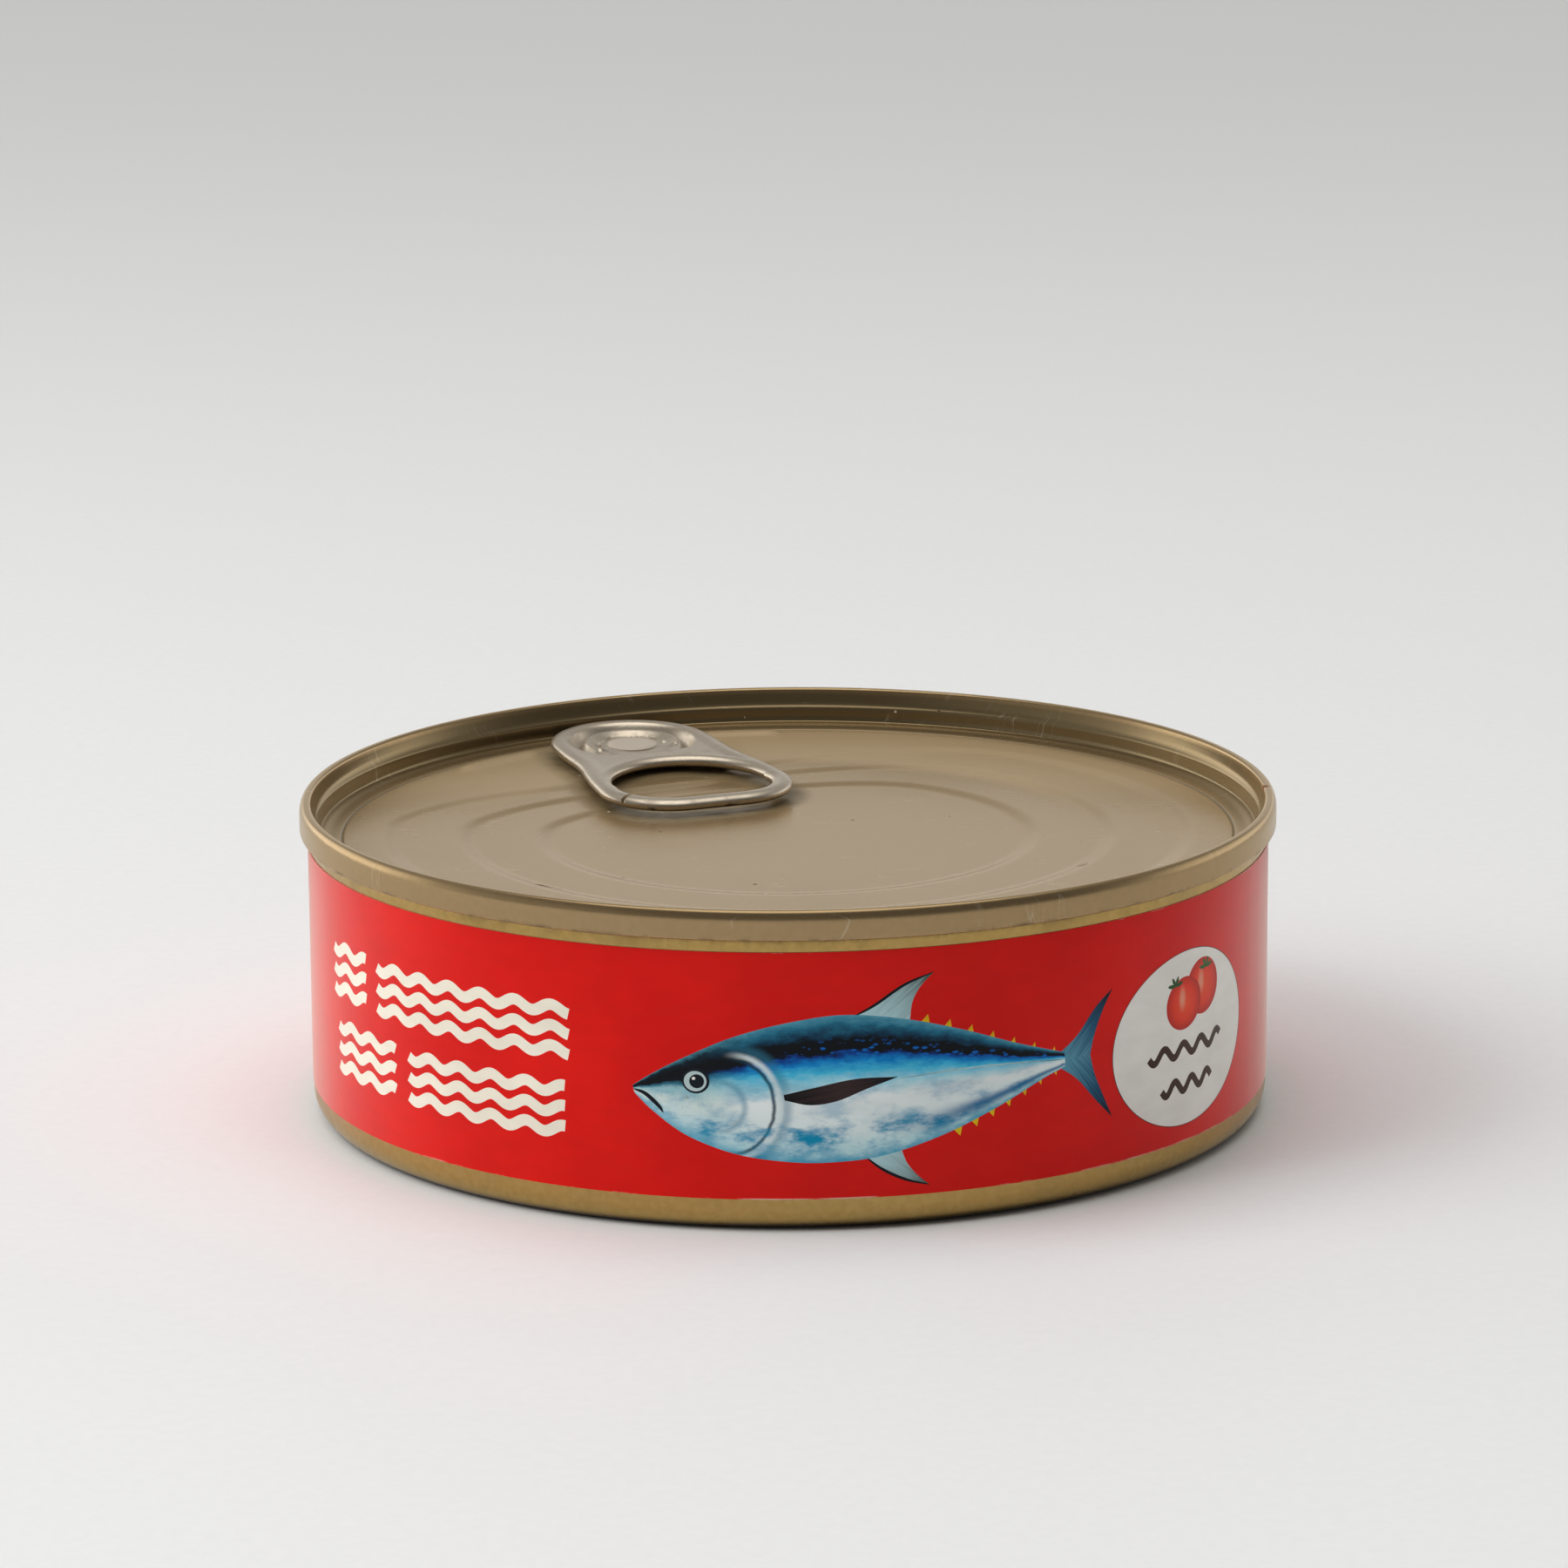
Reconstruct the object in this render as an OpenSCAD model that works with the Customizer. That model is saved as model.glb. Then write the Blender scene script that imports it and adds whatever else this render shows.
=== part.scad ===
// A shut, filled tin of fish with an easy-open lid, a pull tab and a paper label.
// Millimetres. The tin stands on z = 0, centred on the z axis, label front towards -y.

/* [Can body] */
// Outer diameter of the straight metal wall
wall_d = 98.8; // [80:0.2:120]
// Height from the stand ring to the top of the rim
can_h = 32.4; // [24:0.2:60]
// Radius of the turn from the wall to the base
base_round = 2.4; // [1.2:0.1:3]
// Width of the flat ring that the can stands on
stand_w = 1.4; // [0.8:0.1:3]
// Depth of the base panel above the stand ring
base_recess = 1.2; // [0.4:0.1:2]
// Width of the slope between the stand ring and the base panel
base_slope_w = 1.8; // [1:0.1:4]
// Radius of the ring pressed into the base panel
base_bead_r = 32; // [15:0.5:34]
// Thickness of the collar of wall that stands around the lid's foot
collar_t = 0.6; // [0.3:0.05:0.7]

/* [Rim] */
// Height of the folded seam
seam_h = 3; // [2.4:0.1:3.6]
// Thickness of the folded seam, measured across its top
seam_t = 1.2; // [1:0.05:1.6]
// How far the seam stands out past the wall
seam_proud = 0.9; // [0.5:0.05:1.2]
// Rounding of the seam's upper outside edge
seam_round = 0.5; // [0.3:0.05:0.55]

/* [Lid] */
// Depth of the lid's outer panel below the top of the rim
panel_depth = 3.95; // [3.7:0.05:6]
// Depth of the break in the slope of the lid's inner wall
break_depth = 2; // [1.2:0.05:2.4]
// How far the upper inner wall leans in, from the rim to the break
upper_lean = 0.6; // [0.2:0.05:0.7]
// How far the lower inner wall leans in, from the break to the foot
lower_lean = 0.2; // [0.1:0.05:0.3]
// Width of the sloping foot between the inner wall and the panel
foot_w = 2; // [1:0.1:3]
// Height of the sloping foot
foot_h = 0.4; // [0.2:0.05:0.6]
// Thickness of the lid from its outer panel down to its seat
lid_t = 1.6; // [1:0.1:2.5]
// Width of the score line that the lid tears along
score_w = 0.3; // [0.2:0.05:0.5]
// Depth of the score line
score_depth = 0.12; // [0.05:0.01:0.2]
// Distance from the score line in to the outermost step
ring_in = 4.8; // [4:0.1:7]
// Distance from each step to the next
ring_pitch = 8; // [5:0.1:9]
// Drop at each step
step_h = 0.18; // [0.1:0.02:0.3]
// Turn of the lid on the can: the tab's side, from +y towards -x, in degrees
lid_turn = 26.5; // [-180:0.1:180]
// Length of each of the two bars beside the tab's nose, in degrees of arc
bar_arc = 12; // [6:0.5:16]
// Width of those bars
bar_w = 1.4; // [0.8:0.1:2]
// Height of those bars above the panel
bar_h = 0.3; // [0.15:0.05:0.5]

/* [Rivet] */
// Distance from the score line in to the rivet's centre
rivet_in = 8.4; // [8:0.1:12]
// Diameter of the rivet's stem
rivet_d = 3.2; // [2.4:0.1:4]
// Diameter of the rivet's flattened head
rivet_head_d = 5.4; // [4.6:0.1:6]
// Thickness of the head
rivet_head_t = 0.35; // [0.2:0.05:0.6]
// Height of the boss under the tab, above the panel
boss_h = 0.65; // [0.4:0.05:1]
// Diameter of the boss
boss_d = 6.4; // [5:0.1:7.5]
// Clearance around the stem in the tab
rivet_clearance = 0.1; // [0.05:0.01:0.2]

/* [Pull tab] */
// Length of the tab
tab_l = 35; // [28:0.1:42]
// Radius of the tab's nose
nose_r = 8.8; // [7:0.1:9.2]
// Width of the finger ring
ring_w = 21.1; // [18:0.1:26]
// Outer radius of the finger ring's corners
corner_r = 7.5; // [5:0.1:8.5]
// Width of the rolled edge
rim_w = 2.2; // [1.6:0.1:2.6]
// Thickness of the rolled edge
rim_t = 1.35; // [1.2:0.05:1.8]
// Bevel of the rolled edge's roll, above and below
rim_bevel = 0.45; // [0.2:0.05:0.55]
// Thickness of the flat web in the nose
web_t = 0.5; // [0.3:0.05:0.7]
// Width of the rolled lip between the web and the finger hole
lip_w = 1.6; // [1:0.1:2.2]
// Distance from the rivet back to the finger hole
web_back = 9; // [7:0.1:11]
// Turn of the tab about the rivet, away from the lid's own line, in degrees
tab_twist = 4.5; // [-10:0.5:10]
// Tilt of the tab, in degrees: above 0 the finger ring is lifted, below 0 it dips
tab_lift = -1.6; // [-1.8:0.1:4]

/* [Label] */
// Thickness of the paper
label_t = 0.1; // [0.06:0.01:0.3]
// Height of the strip of bare wall under the label
label_low = 3.4; // [3:0.1:6]
// Depth of the label's top edge below the top of the rim
label_top = 4.25; // [3.6:0.05:8]

/* [Hidden] */
$fn = 128;
eps = 0.01;

wall_r = wall_d / 2;
seam_r = wall_r + seam_proud;
seam_z = can_h - seam_h;
rim_in_r = seam_r - seam_t;
break_r = rim_in_r - upper_lean;
foot_r = break_r - lower_lean;
panel_z = can_h - panel_depth;
panel_r = foot_r - foot_w;
seat_z = panel_z - lid_t;
seat_r = wall_r - collar_t;
seat_gap = 0.05;
score_r = panel_r - score_w;
rivet_y = score_r - rivet_in;
rivet_z = panel_z + boss_h;
head_gap = 0.05;
base_bead_t = 0.6;
base_bead_w = 2.4;
ring_count = 3;
// Each step leaves its circle and runs straight across under the tab at this distance
// in from the rivet; the inner steps lie further in.
cross_in = 9.5;
cross_pitch = 4;
bar_in = 1.6;
bar_from = 12;
ridge_r = 4.8;
ridge_d = 1;

function step_r(i) = score_r - ring_in - i * ring_pitch;
function step_y(i) = rivet_y - cross_in - i * cross_pitch;

// The metal wall and the food behind it: one solid, as the shut can shows no more.
module can_body() {
    color([0.53, 0.44, 0.28])
    difference() {
        rotate_extrude() {
            square([wall_r - base_round, seat_z]);
            translate([0, base_round]) square([wall_r, seat_z - base_round]);
            translate([wall_r - base_round, base_round]) circle(r = base_round);
            translate([seat_r, seat_z - 1]) square([collar_t, seam_z - seat_z + 1]);
        }
        base_hollow();
    }
}

module base_hollow() {
    stand_in_r = wall_r - base_round - stand_w;
    difference() {
        translate([0, 0, -eps])
            cylinder(h = base_recess + eps, r1 = stand_in_r, r2 = stand_in_r - base_slope_w);
        translate([0, 0, base_recess - base_bead_t])
        difference() {
            cylinder(h = 2 * base_bead_t, r = base_bead_r + base_bead_w / 2);
            translate([0, 0, -base_bead_t])
                cylinder(h = 4 * base_bead_t, r = base_bead_r - base_bead_w / 2);
        }
    }
}

// The easy-open end, with its folded seam, stepped panel, bars and integral rivet.
module lid() {
    color([0.64, 0.58, 0.48])
    union() {
        difference() {
            rotate_extrude() lid_section();
            rotate([0, 0, lid_turn]) for (i = [0 : ring_count - 1]) panel_step(i);
        }
        rotate([0, 0, lid_turn]) {
            for (side = [0, 1]) mirror([side, 0, 0]) nose_bar();
            rivet();
        }
    }
}

module lid_section() {
    difference() {
        union() {
            square([foot_r, panel_z]);
            square([seat_r - seat_gap, seam_z + seam_round]);
            translate([0, seam_z]) seam_section();
        }
        square([seat_r, seat_z]);
        lid_recess_section();
    }
}

module seam_section() {
    low_round = seam_round / 2;
    square([seam_r - seam_round, seam_h]);
    translate([0, low_round]) square([seam_r, seam_h - low_round - seam_round]);
    translate([seam_r - low_round, low_round]) circle(r = low_round);
    translate([seam_r - seam_round, seam_h - seam_round]) circle(r = seam_round);
}

// What is open above the panel: the leaning inner wall, the foot and the score line.
module lid_recess_section() {
    foot_z = panel_z + foot_h;
    polygon([
        [0, panel_z],
        [score_r - score_w / 2, panel_z],
        [score_r, panel_z - score_depth],
        [score_r + score_w / 2, panel_z],
        [panel_r, panel_z],
        [foot_r, foot_z],
        [break_r, can_h - break_depth],
        [rim_in_r, can_h - seam_round / 2],
        [rim_in_r + seam_round / 2, can_h],
        [rim_in_r + seam_round / 2, can_h + 1],
        [0, can_h + 1]
    ]);
}

module panel_step(i) {
    floor_z = panel_z - (i + 1) * step_h;
    translate([0, 0, floor_z])
    linear_extrude(height = ring_count * step_h + 1)
    intersection() {
        circle(r = step_r(i));
        translate([-wall_r, step_y(i) - wall_d]) square([wall_d, wall_d]);
    }
}

module nose_bar() {
    rotate([0, 0, 90 - bar_from - bar_arc])
    rotate_extrude(angle = bar_arc)
    translate([score_r - bar_in - bar_w / 2, panel_z - step_h]) square([bar_w, bar_h + step_h]);
}

// The rivet and its boss lean with the tab, so that the tab lies flat on the boss.
module rivet() {
    rivet_frame() {
        translate([0, 0, -boss_h - lid_t / 2]) cylinder(h = boss_h + lid_t / 2, d = boss_d);
        cylinder(h = web_t + head_gap + eps, d = rivet_d);
        translate([0, 0, web_t + head_gap]) cylinder(h = rivet_head_t, d = rivet_head_d);
    }
}

// Origin on top of the boss, +y towards the tab's nose.
module rivet_frame() {
    translate([0, rivet_y, rivet_z]) rotate([-tab_lift, 0, -tab_twist]) children();
}

// The pull tab: a rolled edge all round, a flat web at the nose and an open finger ring.
module pull_tab() {
    color([0.71, 0.66, 0.6])
    rotate([0, 0, lid_turn])
    rivet_frame()
    difference() {
        union() {
            rolled_edge();
            tab_web();
            hole_lip();
            web_ridge();
        }
        translate([0, 0, -1]) cylinder(h = rim_t + 2, d = rivet_d + 2 * rivet_clearance);
    }
}

corner_x = ring_w / 2 - corner_r;
corner_y = -(tab_l - nose_r - corner_r);
// Angle between the tab's straight side and its long axis
side_turn = atan2(corner_x, -corner_y) - asin((nose_r - corner_r) / norm([corner_x, corner_y]));
side_out = [cos(side_turn), sin(side_turn)];
hole_r = ring_w / 2 - rim_w;
hole_y = -web_back - hole_r;

// The tab's outline, drawn in by inset: round nose, straight sides and round corners
module tab_outline(inset) {
    nose = nose_r - inset;
    corner = corner_r - inset;
    right = [
        nose * side_out,
        [corner_x, corner_y] + corner * side_out,
        [corner_x, corner_y - corner]
    ];
    circle(r = nose);
    for (side = [-1, 1]) translate([side * corner_x, corner_y]) circle(r = corner);
    polygon([for (p = right) p, for (i = [2 : -1 : 0]) [-right[i].x, right[i].y]]);
}

// The rolled edge is a flattened roll: its top and bottom are drawn in by the bevel.
module rolled_edge() {
    for (bevel = [0, rim_bevel])
        translate([0, 0, rim_bevel - bevel])
        linear_extrude(height = rim_t - 2 * (rim_bevel - bevel))
        difference() {
            tab_outline(bevel);
            tab_outline(rim_w - bevel);
        }
}

// The flat web, from the nose back to the round end of the finger hole
module tab_web() {
    linear_extrude(height = web_t)
    difference() {
        tab_outline(rim_w / 2);
        translate([0, hole_y]) circle(r = hole_r);
        translate([-ring_w, hole_y - tab_l]) square([2 * ring_w, tab_l]);
    }
}

// The rolled lip along that end of the hole
module hole_lip() {
    linear_extrude(height = rim_t - rim_bevel / 2)
    intersection() {
        tab_outline(rim_w / 2);
        translate([0, hole_y]) difference() {
            circle(r = hole_r + lip_w);
            circle(r = hole_r);
        }
        translate([-ring_w, hole_y]) square([2 * ring_w, tab_l]);
    }
}

// The pressed ridge that stiffens the web around the rivet
module web_ridge() {
    translate([0, 0, web_t]) rotate_extrude() translate([ridge_r, 0]) circle(d = ridge_d, $fn = 32);
}

// The printed paper, wrapped once round the wall
module label() {
    color([0.72, 0.12, 0.09])
    translate([0, 0, label_low])
    difference() {
        cylinder(h = can_h - label_top - label_low, r = wall_r + label_t);
        translate([0, 0, -1]) cylinder(h = can_h, r = wall_r);
    }
}

can_body();
lid();
pull_tab();
label();
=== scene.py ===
"""A shut tin of fish: lacquered can, easy-open lid with a pull tab, and a printed paper label.

Sizes are in millimetres and are turned into metres as each mesh is made.
"""
import math
from functools import reduce

import bmesh
import bpy
import numpy as np
from mathutils import Matrix, Quaternion, Vector
from mathutils.geometry import delaunay_2d_cdt


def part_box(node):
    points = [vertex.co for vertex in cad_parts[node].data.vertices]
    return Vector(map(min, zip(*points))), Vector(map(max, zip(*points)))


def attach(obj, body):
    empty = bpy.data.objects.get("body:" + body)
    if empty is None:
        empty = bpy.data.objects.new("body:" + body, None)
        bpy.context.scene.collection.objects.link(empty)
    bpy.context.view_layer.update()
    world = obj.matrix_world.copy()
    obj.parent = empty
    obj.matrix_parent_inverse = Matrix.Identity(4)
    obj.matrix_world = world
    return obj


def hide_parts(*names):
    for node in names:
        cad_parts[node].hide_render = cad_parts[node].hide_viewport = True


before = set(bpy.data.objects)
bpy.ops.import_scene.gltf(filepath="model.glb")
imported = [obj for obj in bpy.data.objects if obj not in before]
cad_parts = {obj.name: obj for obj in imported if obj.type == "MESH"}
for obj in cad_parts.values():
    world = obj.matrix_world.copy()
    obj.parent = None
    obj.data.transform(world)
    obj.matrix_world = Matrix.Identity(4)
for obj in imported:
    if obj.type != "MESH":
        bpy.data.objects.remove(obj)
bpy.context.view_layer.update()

MM = 0.001


def span(node):
    """Lowest and highest corner of a CAD node, in millimetres."""
    low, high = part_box(node)
    return low / MM, high / MM


# ---------------------------------------------------------------- sizes
label_low, label_high = span("label")
lid_low, lid_high = span("lid")
WALL_R = span("can_body")[1].x
CAN_H = lid_high.z
SEAM_R = lid_high.x
SEAT_Z = lid_low.z
PAPER_R = label_high.x
PAPER_T = PAPER_R - WALL_R
PAPER_TOP = label_high.z
PAPER_H = label_high.z - label_low.z

BASE_ROUND = 2.4
STAND_W = 1.4
BASE_RECESS = 1.2
BASE_SLOPE_W = 1.8
BASE_BEAD_R = 32
BASE_BEAD_W = 2.4
BASE_BEAD_T = 0.6
COLLAR_T = 0.6
BODY_STEPS = 320

SEAM_H = 3
SEAM_T = 1.2
SEAM_Z = CAN_H - SEAM_H
RIM_IN_R = SEAM_R - SEAM_T
BREAK_Z = CAN_H - 2
BREAK_R = RIM_IN_R - 0.6
FOOT_R = BREAK_R - 0.2
PANEL_Z = CAN_H - 3.95
FOOT_Z = PANEL_Z + 0.4
PANEL_R = FOOT_R - 2
SEAT_GAP = 0.01
LID_STEPS = 400
SCORE_R = PANEL_R - 0.3
SCORE_W = 0.34
SCORE_DEPTH = 0.12

RING_IN = 4.8
RING_PITCH = 8
RING_COUNT = 3
STEP_H = 0.24
FLANK_W = 2.1
CROSS_ROUND = 8
CROSS_IN = 9.5
CROSS_PITCH = 4
LID_TURN = math.radians(26.5)
BAR_R = SCORE_R - 1.6
BAR_W = 1.4
BAR_H = 0.3
BAR_FROM = 12
BAR_ARC = 12

RIVET_Y = SCORE_R - 8.4
BOSS_H = 0.65
BOSS_D = 6.4
RIVET_D = 3.2
HEAD_D = 5.4
HEAD_T = 0.35
STEM_SUNK = 0.3

TAB_L = 35
NOSE_R = 8.8
RING_W = 21.1
CORNER_R = 7.5
RIM_W = 2.2
RIM_T = 1.35
LIP_W = 1.6
WEB_BACK = 9
WEB_Z = 0.5
HEAD_Z = 0.42
WAIST_Y = -7.6
WAIST_SPAN = 4.2
WAIST_IN = 0.5
TAB_TWIST = math.radians(-4.5)
TAB_DIP = math.radians(1.9)
RIDGE_R = 4.8
RIB_H = 0.42
SHOULDER_DROP = 0.22
HOLLOW_R = (5.95, 7.0)
HOLLOW_Z = 0.66
HOLLOW_DROP = 0.6
SLIT_R = 3.55
SLIT_DEPTH = 0.5
SPLIT_HALF = (0.16, 0.24)
SPLIT_DEPTH = 1.3
EDGE_ROLL = 1.1
LEAST_T = 0.04
RUST_SPOT = (49.0, 0.8, CAN_H)


# ---------------------------------------------------------------- mesh helpers
def finish_mesh(name, mesh, node, sharp=35.0):
    """Makes the mesh an object that stands for a CAD node and rides on the can."""
    mesh.set_sharp_from_angle(angle=math.radians(sharp))
    piece = bpy.data.objects.new(name, mesh)
    bpy.context.scene.collection.objects.link(piece)
    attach(piece, "root")
    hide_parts(node)


def face_outwards(mesh):
    work = bmesh.new()
    work.from_mesh(mesh)
    bmesh.ops.recalc_face_normals(work, faces=work.faces)
    work.to_mesh(mesh)
    work.free()


def mesh_from(name, points, faces, outward=True):
    """A smooth mesh from points in millimetres, with its faces turned outwards."""
    mesh = bpy.data.meshes.new(name)
    scaled = np.asarray(points, float) * MM
    mesh.from_pydata(scaled.tolist(), [], faces)
    if outward:
        face_outwards(mesh)
    mesh.shade_smooth()
    return mesh


def arc(centre, radius, start, end, count):
    """Points on an arc; radius is one number or a pair, angles are in degrees."""
    across, up = radius if isinstance(radius, tuple) else (radius, radius)
    turns = np.radians(np.linspace(start, end, count))
    return [(centre[0] + across * math.cos(t), centre[1] + up * math.sin(t)) for t in turns]


def smooth_step(x, low, high):
    t = np.clip((np.asarray(x, float) - low) / (high - low), 0, 1)
    return t * t * (3 - 2 * t)


def curve_through(points, per_span):
    """A smooth open curve through a few points (Catmull-Rom)."""
    p = np.array(points, float)
    p = np.vstack([2 * p[0] - p[1], p, 2 * p[-1] - p[-2]])
    out = []
    t = np.linspace(0, 1, per_span, endpoint=False)[:, None]
    for a, b, c, d in zip(p, p[1:], p[2:], p[3:]):
        out.append(0.5 * (2 * b + (c - a) * t + (2 * a - 5 * b + 4 * c - d) * t ** 2
                          + (3 * b - a - 3 * c + d) * t ** 3))
    return np.vstack(out + [p[-2:-1]])


# ---------------------------------------------------------------- node helpers
def put(tree, kind, inputs=None, **settings):
    """Adds a shader node; an input that is a socket is linked, and a value is set."""
    node = tree.nodes.new("ShaderNode" + kind)
    for key, value in settings.items():
        setattr(node, key, value)
    for key, value in (inputs or {}).items():
        if isinstance(value, bpy.types.NodeSocket):
            tree.links.new(value, node.inputs[key])
        else:
            node.inputs[key].default_value = value
    return node


def calc(tree, operation, a, b=0.0, clamp=False):
    return put(tree, "Math", {0: a, 1: b}, operation=operation, use_clamp=clamp).outputs[0]


def times(tree, *values):
    return reduce(lambda a, b: calc(tree, "MULTIPLY", a, b), values)


def add_up(tree, *values):
    return reduce(lambda a, b: calc(tree, "ADD", a, b), values)


def most(tree, *values):
    return reduce(lambda a, b: calc(tree, "MAXIMUM", a, b), values)


def plus(tree, a, b):
    return calc(tree, "ADD", a, b)


def minus(tree, a, b):
    return calc(tree, "SUBTRACT", a, b)


def off_from(tree, value, middle):
    """How far a value is from the middle, on either side."""
    return calc(tree, "ABSOLUTE", minus(tree, value, middle))


def axis_of(tree, vector, axis):
    return put(tree, "SeparateXYZ", {0: vector}).outputs[axis]


def length_of(tree, vector):
    return put(tree, "VectorMath", {0: vector}, operation="LENGTH").outputs["Value"]


def mask_of(tree, title):
    """A mask that the mesh carries on its points."""
    return put(tree, "Attribute", attribute_name=title).outputs["Fac"]


def noise(tree, vector, scale, detail, rough=0.5):
    return put(tree, "TexNoise", {"Vector": vector, "Scale": scale, "Detail": detail,
                                  "Roughness": rough}).outputs[0]


def blend(tree, factor, a, b):
    return put(tree, "Mix", {0: factor, 6: a, 7: b}, data_type="RGBA").outputs[2]


def tint(tree, colour, shade, mask, amount=None):
    """Lays a shade over the colour where the mask is, at the given strength."""
    factor = mask if amount is None else times(tree, mask, amount)
    return blend(tree, factor, colour, shade)


def mapped(tree, value, low, high, to_low=0.0, to_high=1.0):
    """Eases from to_low to to_high as the value goes from low to high."""
    inputs = {0: value, 1: low, 2: high, 3: to_low, 4: to_high}
    return put(tree, "MapRange", inputs, interpolation_type="SMOOTHSTEP").outputs[0]


def fade(tree, distance, low, high, to_low=0.0, to_high=1.0):
    """The same for a distance, with low and high in millimetres."""
    return mapped(tree, distance, low * MM, high * MM, to_low, to_high)


def band(tree, distance, low, high, soft):
    """1 where a distance lies between low and high (millimetres), with soft edges."""
    rise = fade(tree, distance, low - soft, low + soft)
    return times(tree, rise, fade(tree, distance, high - soft, high + soft, 1.0, 0.0))


def ramp(tree, value, stops):
    """A colour ramp; stops are (position, sRGB colour of 0 to 255)."""
    node = put(tree, "ValToRGB", {0: value})
    elements = node.color_ramp.elements
    while len(elements) < len(stops):
        elements.new(0.5)
    for element, (place, colour) in zip(elements, stops):
        element.position = place
        element.color = paint(*colour)
    return node.outputs[0]


def paint(red, green, blue):
    """An sRGB colour of 0 to 255 as Blender's linear colour."""
    def linear(c):
        c /= 255
        return c / 12.92 if c <= 0.04045 else ((c + 0.055) / 1.055) ** 2.4
    return (linear(red), linear(green), linear(blue), 1.0)


def effect(name, inputs, outputs):
    """A shader node group with named inputs and outputs."""
    group = bpy.data.node_groups.new(name, "ShaderNodeTree")
    for title, value in inputs:
        kind = "NodeSocketVector" if value is None else "NodeSocketFloat"
        socket = group.interface.new_socket(title, in_out="INPUT", socket_type=kind)
        if value is not None:
            socket.default_value = value
    for title in outputs:
        group.interface.new_socket(title, in_out="OUTPUT", socket_type="NodeSocketFloat")
    start = group.nodes.new("NodeGroupInput")
    end = group.nodes.new("NodeGroupOutput")
    return group, start.outputs, end.inputs


def use(tree, group, vector, **values):
    """Places an effect in a material and returns its outputs."""
    node = put(tree, "Group", node_tree=group)
    tree.links.new(vector, node.inputs["Vector"])
    for title, value in values.items():
        node.inputs[title].default_value = value
    return node.outputs


def material(name):
    """A material with only its shader and output, ready for its own nodes."""
    made = bpy.data.materials.new(name)
    made.use_nodes = True
    tree = made.node_tree
    shader = tree.nodes["Principled BSDF"]
    return made, tree, shader


def wire(tree, shader, **sockets):
    """Links or sets the shader's sockets; an underscore stands for a space."""
    for title, value in sockets.items():
        socket = shader.inputs[title.replace("_", " ")]
        if isinstance(value, bpy.types.NodeSocket):
            tree.links.new(value, socket)
        else:
            socket.default_value = value


# ---------------------------------------------------------------- shared effects
def make_specks():
    """Small round specks, each with its own size; Amount is the share of cells with one."""
    group, given, out = effect(
        "specks", [("Vector", None), ("Scale", 900.0), ("Amount", 0.1), ("Size", 0.2)], ["Mask"])
    cells = put(group, "TexVoronoi", {"Vector": given["Vector"], "Scale": given["Scale"],
                                      "Randomness": 1.0})
    parts = put(group, "SeparateColor", {0: cells.outputs["Color"]})
    chosen = calc(group, "LESS_THAN", parts.outputs[0], given["Amount"])
    size = times(group, given["Size"], plus(group, parts.outputs[1], 0.35))
    reach = calc(group, "DIVIDE", cells.outputs["Distance"], size)
    inside = calc(group, "SUBTRACT", 1.0, reach, clamp=True)
    edge = calc(group, "MULTIPLY", inside, 3.0, clamp=True)
    group.links.new(times(group, chosen, edge), out["Mask"])
    return group


def make_scratches():
    """Thin straight scuffs in two directions, broken up along their length."""
    group, given, out = effect(
        "scratches", [("Vector", None), ("Scale", 60.0), ("Amount", 0.3)], ["Mask"])
    marks = []
    for turn, stretch in ((0.5, 26.0), (2.1, 34.0)):
        place = put(group, "Mapping", {"Vector": given["Vector"], "Rotation": (0, 0, turn),
                                       "Scale": (1, stretch, 1)}).outputs[0]
        lines = noise(group, place, given["Scale"], 1.0)
        thin = mapped(group, off_from(group, lines, 0.5), 0.0, 0.012, 1.0, 0.0)
        broken = noise(group, given["Vector"], 140.0 + 60 * turn, 2.0)
        marks.append(times(group, thin, mapped(group, broken, 0.56, 0.68)))
    group.links.new(times(group, most(group, *marks), given["Amount"]), out["Mask"])
    return group


def make_patches():
    """Soft-edged blotches of soiling; Cover moves how much of the surface they take."""
    group, given, out = effect(
        "patches", [("Vector", None), ("Scale", 120.0), ("Cover", 0.4), ("Edge", 0.12)], ["Mask"])
    cloud = noise(group, given["Vector"], given["Scale"], 5.0, 0.62)
    above = minus(group, cloud, minus(group, 1.0, given["Cover"]))
    rise = calc(group, "DIVIDE", above, given["Edge"], clamp=True)
    group.links.new(rise, out["Mask"])
    return group


def make_sheet_relief():
    """The faint waviness and fine grain of rolled, lacquered sheet."""
    group, given, out = effect(
        "sheet relief", [("Vector", None), ("Wave", 45.0), ("Grain", 1600.0)], ["Height", "Tone"])
    wave = noise(group, given["Vector"], given["Wave"], 2.0)
    grain = noise(group, given["Vector"], given["Grain"], 3.0)
    group.links.new(plus(group, wave, times(group, grain, 0.06)), out["Height"])
    group.links.new(grain, out["Tone"])
    return group


def make_paper_relief():
    """Fibres and the fine cross grain of coated label paper."""
    group, given, out = effect(
        "paper relief", [("Vector", None), ("Fibre", 900.0)], ["Height", "Tone"])
    fibre = noise(group, given["Vector"], given["Fibre"], 4.0, 0.7)
    across = put(group, "Mapping", {"Vector": given["Vector"], "Scale": (1, 1, 3)}).outputs[0]
    streak = noise(group, across, 240.0, 3.0)
    group.links.new(plus(group, fibre, times(group, streak, 0.6)), out["Height"])
    group.links.new(streak, out["Tone"])
    return group


specks = make_specks()
scratches = make_scratches()
patches = make_patches()
sheet_relief = make_sheet_relief()
paper_relief = make_paper_relief()


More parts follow.
